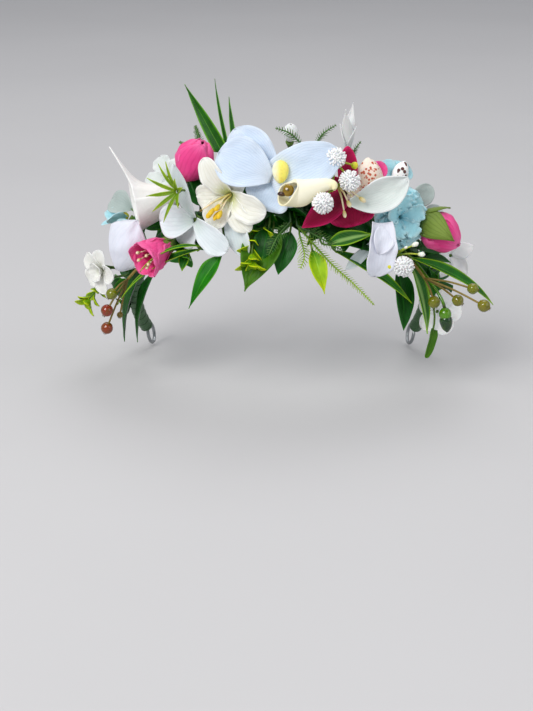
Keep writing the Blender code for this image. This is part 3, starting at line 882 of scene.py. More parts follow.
class Finish(Enum):
    """Every finish on the crown."""

    PALE_BLUE = Silk("pale_blue_silk", dye(222, 232, 246), dye(206, 222, 242), dye(222, 234, 248),
                     dye(146, 172, 212), veins=19, vein_strength=0.24)
    # The orchid's back petals: the pale blue silk with a darker throat, painted shade where the front petals
    # lie over them.
    BLUE_SHADED_THROAT = Silk("pale_blue_silk_shaded_throat", dye(190, 210, 230), dye(204, 220, 240), dye(226, 236, 248),
                     dye(150, 176, 212), veins=19, vein_strength=0.22)
    WARM_WHITE = Silk("warm_white_silk", dye(196, 204, 120), dye(244, 243, 232), dye(250, 250, 246),
                      dye(214, 214, 188), throat_end=0.34, veins=7, vein_strength=0.3)
    COOL_WHITE = Silk("cool_white_silk", dye(206, 220, 214), dye(224, 234, 238), dye(240, 245, 250),
                      dye(196, 212, 220), veins=8)
    PLAIN_WHITE = Silk("plain_white_silk", dye(214, 218, 198), dye(240, 240, 234), dye(250, 250, 248),
                       dye(212, 212, 204), veins=10, vein_strength=0.3)
    GREEN_WHITE = Silk("green_white_silk", dye(205, 216, 208), dye(222, 230, 226), dye(242, 246, 246),
                       dye(192, 206, 200), veins=16, vein_strength=0.3)
    LAVENDER = Silk("lavender_silk", dye(232, 233, 246), dye(232, 235, 248), dye(240, 242, 252),
                    dye(214, 219, 238), veins=9)
    PINK = Silk("pink_silk", dye(200, 30, 96), dye(236, 66, 140), dye(250, 112, 172), dye(200, 34, 104),
                veins=10, vein_strength=0.3)
    PINK_DEEP = Silk("deep_pink_silk", dye(150, 8, 62), dye(206, 26, 96), dye(232, 66, 136), dye(160, 10, 70),
                     veins=10, vein_strength=0.35)
    MAGENTA = Silk("magenta_velvet", dye(104, 0, 36), dye(158, 0, 62), dye(230, 30, 112), dye(112, 0, 42),
                   throat_end=0.5, rim_start=0.72, veins=12, vein_strength=0.4)
    TURQUOISE = Silk("turquoise_voile", dye(140, 216, 234), dye(178, 234, 246), dye(212, 244, 250),
                     dye(130, 210, 230), veins=24, vein_strength=0.4)
    EUCALYPTUS = Silk("grey_green_voile", dye(150, 166, 160), dye(170, 184, 180), dye(188, 200, 196),
                      dye(148, 164, 158), veins=10)
    CREAM = Silk("cream_lip", dye(248, 242, 214), dye(250, 246, 226), dye(250, 240, 190), dye(238, 226, 180),
                 veins=5, vein_strength=0.15)
    YELLOW_HOOD = Moulded("yellow_hood", dye(250, 236, 110), dye(252, 248, 214), roughness=0.45,
                          change=(0.55, 0.15), glow=0.2)
    SEPAL = Silk("sepal_cloth", dye(92, 112, 34), dye(120, 142, 58), dye(104, 128, 44), dye(82, 104, 34),
                 veins=7, vein_strength=0.45, relief=0.2)
    BLUSH_LIP = Spotted("blush_lip", dye(248, 234, 220), dye(238, 200, 178), dye(196, 78, 40))
    BROWN_LIP = Spotted("brown_spotted_lip", dye(250, 248, 246), dye(240, 232, 230), dye(84, 40, 34),
                        spots=430.0, size=0.5)
    DARK_LEAF = GlossLeaf("dark_leaf", dye(2, 56, 4), dye(10, 92, 10), dye(34, 128, 14), dye(36, 116, 24))
    BROAD_LEAF = GlossLeaf("broad_leaf", dye(48, 96, 4), dye(70, 120, 8), dye(80, 132, 14), dye(92, 140, 26),
                           slant=9.0, ribs=3.0, rib_strength=0.12, roughness=0.5)
    MID_LEAF = GlossLeaf("mid_green_leaf", dye(8, 98, 4), dye(22, 130, 6), dye(100, 178, 20),
                         dye(76, 166, 34), tip_start=0.82, edge=0.5)
    LIME_TIPPED = GlossLeaf("lime_tipped_leaf", dye(4, 88, 10), dye(16, 120, 16), dye(166, 210, 20),
                            dye(110, 178, 60), tip_start=0.62, edge=0.75)
    STRIPED_LEAF = GlossLeaf("striped_leaf", dye(4, 80, 12), dye(12, 116, 20), dye(158, 210, 30),
                             dye(166, 212, 120), tip_start=0.6, edge=0.8, stripe=0.75)
    LIME_LEAF = GlossLeaf("lime_leaf", dye(60, 136, 6), dye(180, 216, 4), dye(212, 230, 10),
                          dye(150, 196, 24), tip_start=0.3, edge=0.7)
    LIME_SPRIG = GlossLeaf("lime_sprig", dye(84, 132, 20), dye(158, 192, 30), dye(190, 214, 60),
                           dye(190, 212, 60), tip_start=0.5, ribs=2.0)
    GRASS = GlossLeaf("grass_blade", dye(8, 68, 8), dye(24, 108, 8), dye(110, 176, 24), dye(96, 156, 50),
                      tip_start=0.9, edge=0.7)
    FERN = Moulded("fern", dye(88, 134, 24), dye(176, 206, 50), roughness=0.5, change=(0.0, 1.0), grain=300.0)
    FERN_DARK = Moulded("dark_fern", dye(40, 84, 24), dye(84, 132, 44), roughness=0.5, change=(0.0, 1.0),
                        grain=300.0)
    STEM = Moulded("wrapped_stem", dye(58, 92, 24), dye(86, 118, 34), roughness=0.62, grain=700.0, relief=0.2)
    LIME_STEM = Moulded("lime_stem", dye(120, 150, 22), dye(186, 200, 60), roughness=0.45, grain=500.0)
    BROWN_STEM = Moulded("brown_stem", dye(112, 96, 30), dye(132, 112, 40), roughness=0.55, grain=700.0,
                         relief=0.15)
    POMPOM = Moulded("white_spikes", dye(244, 246, 247), dye(254, 254, 254), roughness=0.7, glow=0.05,
                     grain=90.0)
    BUD_WHITE = Moulded("white_bud", dye(206, 214, 120), dye(250, 250, 240), roughness=0.45,
                        change=(0.0, 0.5), glow=0.2)
    BUD_YELLOW = Moulded("yellow_bud", dye(200, 206, 30), dye(232, 222, 60), roughness=0.35, glow=0.15)
    STAMEN_GOLD = Moulded("gold_stamen", dye(222, 190, 52), dye(242, 200, 30), roughness=0.5, glow=0.15)
    STAMEN_CREAM = Moulded("cream_stamen", dye(206, 190, 110), dye(246, 232, 196), roughness=0.45, glow=0.15)
    OLIVE_HEART = Glazed("olive_heart", dye(142, 112, 10), dye(60, 24, 14))
    BERRY = Glazed("berry", dye(116, 122, 10), dye(138, 34, 8))
    ACORN = Glazed("acorn_glaze", dye(84, 140, 6), dye(14, 56, 16))
    TAPE = CrepeTape("crepe_tape", dye(58, 106, 52), dye(34, 74, 36), turns=58.0)
    WIRE = Moulded("florist_wire", dye(150, 154, 156), dye(170, 172, 174), roughness=0.32, metal=1.0,
                   relief=0.03, glow=0.0)


class Bench:
    """Turns shapes into finished pieces that ride on the crown."""

    def __init__(self) -> None:
        """Starts with no materials made."""
        self.made: dict[Finish, bpy.types.Material] = {}

    def material(self, finish: Finish) -> bpy.types.Material:
        """The finish's material, built once."""
        if finish not in self.made:
            self.made[finish] = finish.value.material()
        return self.made[finish]

    def piece(self, name: str, shape: Shape, finish: Finish, nodes: Sequence[str] = (),
              thickness: float = 0.0) -> bpy.types.Object:
        """Makes one piece.

        Args:
            name: The piece's name.
            shape: Its faces.
            finish: Its finish.
            nodes: Solid nodes that it stands for.
            thickness: Thickness of an open sheet, in millimetres; 0 leaves the shape alone.

        Returns:
            The object.
        """
        obj = bpy.data.objects.new(name, shape.mesh(name))
        bpy.context.scene.collection.objects.link(obj)
        obj.data.materials.append(self.material(finish))
        if thickness:
            solidify = obj.modifiers.new("thickness", "SOLIDIFY")
            solidify.thickness = thickness * MILLIMETRE
            solidify.offset = 0.0
            solidify.use_even_offset = False
        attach(obj, "root")
        if nodes:
            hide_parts(*nodes)
        LOG.info("%s: %s, %d faces", name, finish.value.name, len(obj.data.polygons))
        return obj

    def dress(self, node: str, finish: Finish) -> None:
        """Gives a solid node that stays in view its finish."""
        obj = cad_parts[node]
        obj.data.materials.clear()
        obj.data.materials.append(self.material(finish))
        LOG.info("%s: %s, kept", node, finish.value.name)


# ---- blooms ------------------------------------------------------------------------------------


@dataclass(frozen=True)
class Layer:
    """Petals of one finish in one piece."""

    finish: Finish
    slot: str
    blades: tuple[Blade, ...]
    nodes: tuple[str, ...] = ()
    suffix: str = "silk"
    thickness: float = 0.4


@dataclass(frozen=True)
class Bloom:
    """A flower: petals round a seat, with a green cup and a stem behind them.

    root is where its stem leaves the tape; without one, a solid stem is there already. cup is the green
    cup's radius, its length, and how far its top is behind the seat.
    """

    name: str
    place: Stance
    layers: tuple[Layer, ...]
    root: Pair | None = None
    cup: Triple = (2.6, 6.0, 0.8)
    shift: Triple = (0.0, 0.0, 0.0)
    stalk: float = 0.9

    def seat(self, band: Band) -> Seat:
        """The flower's own frame."""
        return band.seat(*self.place).moved(self.shift)

    def petals(self, layer: Layer, seat: Seat) -> Shape:
        """The layer's petals, each a little different in shade."""
        shape = Shape()
        seed = seed_of(self.name + layer.suffix)
        rng = np.random.default_rng(seed)
        for index, blade in enumerate(layer.blades):
            shape.grid(seat.world(blade.in_flower(seed + index)), rng.uniform(0.3, 0.7))
        return shape

    def stem(self, band: Band, seat: Seat) -> Shape:
        """A cup that narrows into a stem, which bends to its root on the tape."""
        radius, length, drop = self.cup
        shape = Shape().turned(seat, [(0.4, -length), (self.stalk, -length * 0.97),
                                      (radius * 0.7, -length * 0.6), (radius, -length * 0.25),
                                      (radius * 0.8, -drop - 0.4), (0.3, -drop)],
                               12, smooth=12)
        if self.root:
            end = seat.world([0, 0, -length * 0.8])
            pull = np.linalg.norm(end - band.surface(*self.root)) / 3
            shape.tube(band.stem(self.root, end, 12, pull, seat.axes[2] * pull), self.stalk, 8, 0.4)
        return shape

    def build(self, band: Band, bench: Bench) -> None:
        """Makes the petals, cup and stem."""
        seat = self.seat(band)
        for layer in self.layers:
            bench.piece(f"{self.name}_{layer.suffix}", self.petals(layer, seat), layer.finish,
                        layer.nodes, layer.thickness)
        bench.piece(f"{self.name}_cup", self.stem(band, seat), Finish.STEM)


@dataclass(frozen=True)
class BlueOrchid(Bloom):
    """The large orchid: broad round petals, a two-coloured hood over its heart, and a hollow cream lip."""

    hood_centre: Triple = (1.9, 4.3, 5.2)
    hood_radii: Triple = (4.2, 6.0, 3.6)
    lip_path: tuple[Triple, ...] = (
        (6.0, -6.6, 12.6), (7.4, -6.8, 10.8), (9.6, -7.0, 9.2), (13.2, -6.6, 8.6), (17.4, -5.0, 8.4),
        (22.0, -3.2, 8.2), (26.5, -2.2, 8.0), (29.2, -2.8, 8.8), (29.8, -5.0, 9.6))
    lip_radii: tuple[float, ...] = (6.2, 6.5, 6.8, 6.7, 5.2, 3.7, 2.7, 2.0, 0.5)

    def hood(self, seat: Seat) -> Shape:
        """An egg, one side of its map cream and the other yellow: u runs across it from left to right."""
        angle = np.linspace(0.03, np.pi - 0.03, 18)[:, None]
        around = np.linspace(0, 2 * np.pi, 28, endpoint=False)[None]
        wide, tall, deep = self.hood_radii
        pear = 1 - 0.16 * np.cos(angle)
        local = np.stack([wide * pear * np.sin(angle) * np.cos(around), -tall * np.cos(angle) + 0 * around,
                          deep * pear * np.sin(angle) * np.sin(around)], -1)
        across = 0.5 + 0.5 * np.sin(angle) * np.cos(np.append(around, 2 * np.pi))
        maps = np.stack([np.full_like(across, 0.5), across], -1)
        return Shape().grid(seat.world(local + self.hood_centre), 0.3, True, maps)

    def lip(self, seat: Seat) -> Shape:
        """An open tube along the lip's path, pinched to a point below its mouth and waved at its rim."""
        middle = smooth_path(np.array(self.lip_path), 46)
        radius = smooth_path(np.array(self.lip_radii)[:, None], 46)[:, 0][:, None]
        tangent = unit(np.gradient(middle, axis=0))
        across = unit(np.cross(tangent, UPWARD))
        upward = np.cross(across, tangent)
        angle = np.linspace(0, 2 * np.pi, 32, endpoint=False)[None]
        mouth = np.clip(1 - np.arange(46)[:, None] / 10, 0, 1)
        swell = 1 + mouth * (0.10 * np.cos(3 * angle) + 0.22 * np.cos(angle - 0.4) ** 3)
        ring = around_path(across, upward, angle)
        reach = (radius * swell)[..., None]
        back = tangent[:, None] * (mouth * 2.4 * np.cos(angle - 0.3))[..., None]
        return Shape().grid(seat.world(middle[:, None] + ring * reach - back), 0.4, True, caps=False)

    def heart(self, seat: Seat) -> Shape:
        """The olive-brown button inside the lip's mouth, with a dark ball under it: painted shade for the
        slit.
        """
        shape = Shape().ball(seat.world([6.6, -6.2, 12.6]), (3.0, 3.2, 1.8), seat.axes, 18, 11, 0.0)
        # a dark ball in the slit under the button: painted shade of the opening
        return shape.ball(seat.world([3.6, -8.0, 12.0]), (2.6, 1.3, 1.6), seat.axes, 14, 9, 1.0)

    def build(self, band: Band, bench: Bench) -> None:
        """Makes the petals and then the heart of the flower."""
        super().build(band, bench)
        seat = self.seat(band)
        bench.piece("orchid_hood", self.hood(seat), Finish.YELLOW_HOOD, ["orchid_column"])
        bench.piece("orchid_cream_lip", self.lip(seat), Finish.CREAM, ["orchid_lip"], 0.7)
        bench.piece("orchid_heart", self.heart(seat), Finish.OLIVE_HEART)


@dataclass(frozen=True)
class Calla:
    """The calla: a sheet rolled into a cone that overlaps itself, with a long tip, and its spadix."""

    place: Stance = (-38, 46, 17, -78, -12)
    throat: float = 3.6
    mouth: float = 11.6
    length: float = 28.0
    horn: float = 20.5
    horn_angle: float = 96.0

    def spathe(self, seat: Seat) -> Shape:
        """The rolled sheet, over its angle from -20 to 392 degrees and its height from throat to mouth.

        Its radius grows by the height to the power 0.55 and by 0.14 for each turn. Near the horn's angle
        the rim is drawn outwards and on by a narrow curve, and elsewhere it rolls back a little.
        """
        close = self.horn_angle + np.linspace(-24, 24, 33)
        around = np.radians(np.sort(np.concatenate([np.linspace(-20, 392, 76), close])))[None]
        height = np.linspace(0, 1, 30)[:, None]
        spiral = 1 + 0.14 * (around - around.min()) / (2 * np.pi)
        off = np.degrees(np.angle(np.exp(1j * (around - math.radians(self.horn_angle)))))
        bell = np.exp(-(np.abs(off / 13) ** 1.5)) * height**8
        wide = np.exp(-((off / 70) ** 2)) * height**3
        radius = (self.throat + (self.mouth - self.throat) * height**0.55) * spiral
        radius = radius + 2.4 * wide + self.horn * bell + 0.6 * height**9 * (1 - bell)
        rise = self.length * height * (0.92 - 0.09 * wide) + 6.0 * bell - 1.2 * height**8 * (1 - wide)
        squeeze = np.radians(off) * bell * 0.40
        angle = around - squeeze
        wave = 0.35 * np.sin(5 * around + 3 * height) * height**2
        local = np.stack([(radius + wave) * np.cos(angle), (radius + wave) * np.sin(angle), rise - 4.0], -1)
        return Shape().grid(seat.world(local), 0.45)

    def build(self, band: Band, bench: Bench) -> None:
        """Makes the spathe and spadix."""
        seat = band.seat(*self.place)
        bench.piece("calla_rolled_petal", self.spathe(seat), Finish.PLAIN_WHITE,
                    ["calla_spathe"], 0.5)
        spadix = Shape().turned(seat, [(0.3, 1.5), (1.7, 2.5), (2.0, 9), (1.7, 15), (0.3, 17.5)], 14)
        bench.piece("calla_club", spadix, Finish.STAMEN_GOLD, ["calla_spadix"])
        cup = Shape().turned(seat, [(0.5, -6), (1.4, -5.6), (2.7, -3.5), (3.2, -2.0), (2.6, -1.6)], 14,
                             smooth=14)
        bench.piece("calla_cup", cup, Finish.STEM)


@dataclass(frozen=True)
class Filaments:
    """Fine stalks with a bud or anther on each: every one starts, ends and swells where it says.

    Each row is a start, an end and the end's radius and length; place is the frame that they are given in.
    """

    name: str
    place: Stance
    rows: tuple[tuple[Triple, Triple, float, float], ...]
    stalk_finish: Finish
    bud_finish: Finish
    slot: str
    nodes: tuple[str, ...] = ()
    radius: float = 0.4
    bow: float = 1.2

    def build(self, band: Band, bench: Bench) -> None:
        """Makes the stalks and the buds on them."""
        seat = band.seat(*self.place)
        stalks, buds = Shape(), Shape()
        for start, end, size, length in self.rows:
            first, last = np.array(start, float), np.array(end, float)
            bent = (first + last) / 2 + np.array([0.0, self.bow, self.bow])
            path = smooth_path(np.array([first, bent, last]), 9)
            stalks.tube(seat.world(path), np.linspace(self.radius * 1.2, self.radius * 0.8, 9), 6, 0.4)
            if size:
                ahead = unit(path[-1] - path[-2]) @ seat.axes
                tip = Seat(seat.world(path[-1]), axes_facing(ahead, np.array([0.1, 0.2, 1.0])))
                buds.turned(tip, [(0.1, -0.3), (size * 0.7, length * 0.15), (size, length * 0.5),
                                  (size * 0.8, length * 0.8), (0.1, length)], 10, 0.4, 9)
        bench.piece(f"{self.name}_stalks", stalks, self.stalk_finish, self.nodes)
        if buds.points:
            bench.piece(f"{self.name}_buds", buds, self.bud_finish)


@dataclass(frozen=True)
class PompomSprig:
    """Spiky white balls on lime stems that fork from one root."""

    name: str
    root: Pair
    hub: Triple
    balls: tuple[Triple, ...]
    radius: float = 5.8
    spikes: int = 120

    def build(self, band: Band, bench: Bench) -> None:
        """Makes the stems and the balls of spikes, spread evenly by the golden angle."""
        stems, white = Shape(), Shape()
        hub = band.place(*self.hub)
        stems.tube(band.stem(self.root, hub, 10, 5), 0.9, 8, 0.3)
        rng = np.random.default_rng(seed_of(self.name))
        order = np.arange(self.spikes) + 0.5
        height = 1 - 2 * order / self.spikes
        turn = order * math.pi * (3 - math.sqrt(5))
        ring = np.sqrt(1 - height**2)
        rays = np.stack([ring * np.cos(turn), ring * np.sin(turn), height], -1)
        for ball in self.balls:
            centre = band.place(*ball)
            stems.tube(smooth_path(np.array([hub, (hub + centre) / 2 + [0, 0, 1.5], centre]), 9), 0.6, 7, 0.6)
            white.ball(centre, self.radius * 0.62, sides=12, rows=8, shade=0.2)
            spread = unit(rays + rng.normal(0, 0.06, rays.shape))
            tips = centre + spread * self.radius * rng.uniform(0.9, 1.02, (self.spikes, 1))
            white.spikes(centre + spread * self.radius * 0.5, tips, 0.50, 0.52,
                         rng.uniform(0.0, 0.6, self.spikes))
        bench.piece(f"{self.name}_balls", white, Finish.POMPOM, [self.name])
        bench.piece(f"{self.name}_stems", stems, Finish.LIME_STEM)


@dataclass(frozen=True)
class BerrySprig:
    """Glossy berries on thin brown stems; each berry is its place, radius and how red it is."""

    name: str
    root: Pair
    hub: Triple
    berries: tuple[tuple[Triple, float, float], ...]

    def build(self, band: Band, bench: Bench) -> None:
        """Makes the stems, and berries whose end away from the stem has a small dark star."""
        stems, fruit = Shape(), Shape()
        hub = band.place(*self.hub)
        stems.tube(band.stem(self.root, hub, 12, 5), 0.8, 8, 0.3)
        for place, radius, red in self.berries:
            centre = band.place(*place)
            sag = (hub + centre) / 2 + np.array([0.0, -1.0, 1.2])
            path = smooth_path(np.array([hub, sag, centre]), 10)
            stems.tube(path, 0.55, 7, 0.4)
            ahead = unit(path[-1] - path[-2])
            tip = Seat(centre, axes_facing(ahead, np.array([0.1, 0.3, 1.0])))
            fruit.turned(tip, [(0.3, -radius), (radius * 0.62, -radius * 0.82),
                               (radius * 0.98, -radius * 0.15), (radius * 0.86, radius * 0.5),
                               (radius * 0.34, radius * 0.93), (0.2, radius * 1.02)],
                         20, red, 18)
            points = np.radians(np.arange(0, 360, 72))[:, None]
            rays = np.cos(points) * tip.axes[0] + np.sin(points) * tip.axes[1]
            crown = centre + tip.axes[2] * radius
            stems.spikes(crown - tip.axes[2] * 0.2 + rays * 0.2, crown + rays * 0.9 + tip.axes[2] * 0.5,
                         0.3, 0.08, 1.0)
        bench.piece(f"{self.name}_fruit", fruit, Finish.BERRY, [self.name])
        bench.piece(f"{self.name}_stems", stems, Finish.BROWN_STEM)


@dataclass(frozen=True)
class Acorn:
    """The two-part nut: a lime ball in front of a dark pointed one, hanging tip down."""

    place: Stance = (62, -64, 44, 50, -80)
    root: Pair = (53, -68)
    shift: Triple = (-6.0, 0.0, -1.5)

    def build(self, band: Band, bench: Bench) -> None:
        """Makes the nut, its cap and its stem."""
        seat = band.seat(*self.place).moved(self.shift)
        nut = Shape().turned(seat, [(0.3, 3), (2.8, 4.0), (3.5, 6.5), (2.7, 10), (1.0, 12.2), (0.2, 12.8)],
                             20, 1.0, 20)
        cap = Shape().ball(seat.world([0, 0, 2.6]), (3.4, 3.4, 3.8), seat.axes, 20, 13, 0.0)
        cap.tube(band.stem(self.root, seat.world([0, 0, -1.0]), 14, 8, seat.axes[2] * 8), 0.9, 8, 0.0)
        bench.piece("acorn_nut", nut, Finish.ACORN, ["acorn_bud"])
        bench.piece("acorn_cap", cap, Finish.ACORN)


# ---- leaves and ferns --------------------------------------------------------------------------


@dataclass(frozen=True)
class Spray:
    """Leaves of one finish in one piece, each from its base to its tip, on stalks from the tape.

    Each row is the base and the tip in band coordinates, and the leaf's form.
    """

    name: str
    rows: tuple[tuple[Triple, Triple, Blade], ...]
    finish: Finish
    slot: str = "leaf_green"
    nodes: tuple[str, ...] = ()
    outward: Triple = (0.0, -0.5, 0.6)

    def build(self, band: Band, bench: Bench) -> None:
        """Makes the leaves and their stalks. Each faces outward from the band, leant by outward."""
        leaves, stalks = Shape(), Shape()
        rng = np.random.default_rng(seed_of(self.name))
        for index, (base, tip, blade) in enumerate(self.rows):
            start, end = band.place(*base), band.place(*tip)
            face = band.outward((base[0] + tip[0]) / 2) + np.array(self.outward)
            leaves.grid(blade.between(start, end, face, seed_of(self.name) + index), rng.uniform(0.3, 0.6))
            root, ahead = base[:2], unit(end - start)
            pull = np.linalg.norm(start - band.surface(*root)) / 3
            stalks.tube(band.stem(root, start + ahead * 1.5, 10, pull, ahead * pull * 1.2),
                        np.linspace(STALK * 1.3, STALK, 10), 7, 0.3)
        bench.piece(f"{self.name}_blades", leaves, self.finish, self.nodes, LEAF_SHEET)
        bench.piece(f"{self.name}_stalks", stalks, Finish.STEM)


@dataclass(frozen=True)
class Twig:
    """A twig along a path, with small leaves set alternately and a rosette at its tip.

    lean is how far the leaves point along the twig, in degrees.
    """

    name: str
    path: tuple[Triple, ...]
    leaf: Blade
    count: int
    finish: Finish
    slot: str = "leaf_lime"
    rosette: int = 4
    lean: float = 50.0
    radius: float = 0.6
    first: float = 0.25

    def build(self, band: Band, bench: Bench) -> None:
        """Makes the twig and its leaves, turned by the golden angle from one to the next."""
        _, points = band.vine(self.path, 40)
        bark = Shape().tube(points, np.linspace(self.radius * 1.2, self.radius * 0.6, len(points)), 7, 0.4)
        leaves = Shape()
        seed = seed_of(self.name)
        rng = np.random.default_rng(seed)
        places = np.append(np.linspace(self.first, 0.93, self.count), np.full(self.rosette, 0.99))
        for index, place in enumerate(places):
            spot = int(place * (len(points) - 1))
            ahead = unit(points[min(spot + 1, len(points) - 1)] - points[spot - 1])
            seat = Seat(points[spot], axes_facing(ahead, np.array([0.2, 0.3, 1.0]), index * GOLDEN_TURN))
            form = replace(self.leaf, rise=self.lean + rng.uniform(-12, 12), direction=rng.uniform(-15, 15),
                           length=self.leaf.length * rng.uniform(0.75, 1.1))
            leaves.grid(seat.world(form.in_flower(seed + index)), rng.uniform(0.2, 0.6))
        bench.piece(f"{self.name}_leaves", leaves, self.finish, thickness=LEAF_SHEET)
        bench.piece(f"{self.name}_bark", bark, Finish.STEM)


@dataclass(frozen=True)
class Frond:
    """An asparagus frond: a fine stem with needles on both sides, shorter towards both its ends."""

    name: str
    path: tuple[Triple, ...]
    needle: float
    finish: Finish = Finish.FERN
    nodes: tuple[str, ...] = ()
    step: float = 1.5
    lean: float = 0.75
    radius: float = 0.5
    outward: Triple = (0.0, -0.8, 0.5)

    def build(self, band: Band, bench: Bench) -> None:
        """Makes the stem, and needles as spikes that lean forward and sideways from it."""
        points, stem = band.vine(self.path, 60)
        shape = Shape().tube(stem, np.linspace(self.radius * 1.2, self.radius * 0.5, len(stem)), 6, 0.5)
        run = np.append(0, np.cumsum(np.linalg.norm(np.diff(points, axis=0), axis=1)))
        rng = np.random.default_rng(seed_of(self.name))
        where = np.arange(run[-1] * 0.08, run[-1] * 0.995, self.step)
        roots = np.stack([np.interp(where, run, points[:, axis]) for axis in range(3)], -1)
        slopes = [np.interp(where, run, np.gradient(points[:, axis])) for axis in range(3)]
        tangent = unit(np.stack(slopes, -1))
        flat = unit(np.cross(tangent, np.array(self.outward)))
        above = np.cross(flat, tangent)
        length = self.needle * (0.30 + 0.70 * np.sin(np.pi * np.clip(where / run[-1], 0.0, 1.0) ** 0.8))
        for side, rise in ((1, 0.15), (-1, 0.15), (1, 0.7), (-1, -0.5)):
            share = 0.8 if abs(rise) > 0.2 else 1.0
            size = (length * rng.uniform(0.75, 1.1, len(where)) * share)[:, None]
            ray = unit(flat * side + above * rise + tangent * self.lean + rng.normal(0, 0.08, roots.shape))
            shape.spikes(roots, roots + ray * size, 0.24, 0.10, rng.uniform(0.2, 0.6, len(where)))
        bench.piece(f"{self.name}_frond", shape, self.finish, self.nodes)


@dataclass(frozen=True)
class Filler:
    """The dark leaves that fill the gaps behind the flowers, drawn at random along the band.

    zones are the lifts that they leave the tape at, each with its share. front is how many more stand at
    the front's lower edge. They are short where flowers sit on the band.
    """

    count: int = 64
    front: int = 44
    reach: Pair = (16.0, 30.0)
    zones: tuple[Pair, ...] = ((-85, -35), (-40, 40), (35, 92))
    shares: Triple = (0.40, 0.25, 0.35)

    def build(self, band: Band, bench: Bench) -> None:
        """Makes two pieces: dark leaves and a third as many lighter ones."""
        rng = np.random.default_rng(7)
        dark, light = Shape(), Shape()
        for index in range(self.count + self.front):
            along = -92 + 184 * (index + rng.uniform(0.2, 0.8)) / self.count
            lifts = [rng.uniform(*zone) for zone in self.zones]
            lift = rng.choice(lifts, p=self.shares)
            if index >= self.count:
                along = -42 + 96 * (index - self.count + rng.uniform(0.2, 0.8)) / self.front
                lift = rng.uniform(-92, -76)
            if -34 < along < -20 and lift < 0:
                continue
            start = band.place(along, lift, TAPE_RADIUS - 0.4)
            spread = rng.uniform(-28, 28) * 0.5
            short = 0.42 if -75 < lift < 45 else 0.8 if index >= self.count else 1.0
            end = band.place(along + spread, np.clip(lift + rng.uniform(-18, 18), -90, 96),
                             TAPE_RADIUS + rng.uniform(*self.reach) * short)
            blade = replace(FILLER_LEAF, width=rng.uniform(7, 12), rise=rng.uniform(10, 30),
                            bend=rng.uniform(20, 60))
            face = band.outward(along) * 0.5 + rng.normal(0, 0.5, 3) + np.array([0, -0.4, 0.4])
            leaves = light if index % 4 == 1 else dark
            leaves.grid(blade.between(start, end, face, index), rng.uniform(0.3, 0.9))
        bench.piece("filler_dark_leaves", dark, Finish.DARK_LEAF, thickness=LEAF_SHEET)
        bench.piece("filler_light_leaves", light, Finish.MID_LEAF, thickness=LEAF_SHEET)


@dataclass(frozen=True)
class TapedBand:
    """The crepe tape wound in a helix over the wires, and the bare wire ends bent into loops."""

    turns: float = 58.0
    ridge: float = 0.35

    def build(self, band: Band, bench: Bench) -> None:
        """Makes the tape: a tube whose radius rises by the ridge over each turn and drops back."""
        along = np.linspace(-BAND_SWEEP, BAND_SWEEP, 700)[:, None]
        around = np.linspace(0, 360, 28, endpoint=False)[None]
        place = (along + BAND_SWEEP) / (2 * BAND_SWEEP)
        wound = (place * self.turns + around / 360) % 1.0
        wrinkle = 0.08 * np.sin(along * 9.1 + around * 0.09) * np.sin(around * 0.13 + along * 2.3)
        reach = TAPE_RADIUS - 0.3 + self.ridge * wound + wrinkle
        reach = reach * np.where((place < 0.001) | (place > 0.999), 0.9, 1.0)
        bench.piece("crepe_wound_tape", Shape().grid(band.place(along, around, reach), 0.5, True),
                    Finish.TAPE, ["tape_wrap"])
        for node in ("band_wire", "left_tie_loop", "right_tie_loop"):
            bench.dress(node, Finish.WIRE)


# ---- the crown's own flowers and leaves --------------------------------------------------------

NARROW = Blade(0, 14, 2.6, 35, 30, (60, 30), base=0.5, widest=0.35, tip=1.0, rows=14, columns=7)
SEPAL = Blade(0, 15, 9, 55, -25, (45, 25), base=0.5, widest=0.35, tip=1.1)
LEAF = Blade(0, 1, 10, 12, 24, (30, 12), fold=0.15, base=0.10, widest=0.36, tip=0.95, rows=30)
BAMBOO = Blade(0, 1, 9, 10, 22, (35, 15), fold=0.25, base=0.12, widest=0.35, tip=1.0, rows=30)
BLADE = replace(BAMBOO, base=1.0, widest=0.05, tip=1.2, fold=0.5, rows=34)
FILLER_LEAF = Blade(0, 1, 10, 20, 40, (30, 10), fold=0.2, base=0.05, widest=0.42, tip=0.8, rows=14, columns=9)
SMALL_LEAF = Blade(0, 9, 5.5, 50, 30, (35, 15), fold=0.2, base=0.15, widest=0.5, tip=0.7, rows=12, columns=7)
CUPPED = Blade(0, 24, 24, 20, -82, (80, 68), base=0.35, widest=0.55, tip=0.5, ruffle=0.04, rows=26,
               columns=17)


def ring(blade: Blade, *angles: float, **changes: float) -> tuple[Blade, ...]:
    """Copies of one blade at each angle, with the changes made."""
    return tuple(replace(blade, direction=angle, **changes) for angle in angles)


def whorl(blade: Blade, count: int, first: float = 0.0, **changes: float) -> tuple[Blade, ...]:
    """Copies of one blade spread evenly round the flower, from the first angle on."""
    return ring(blade, *((first + 360 * index / count) % 360 for index in range(count)), **changes)


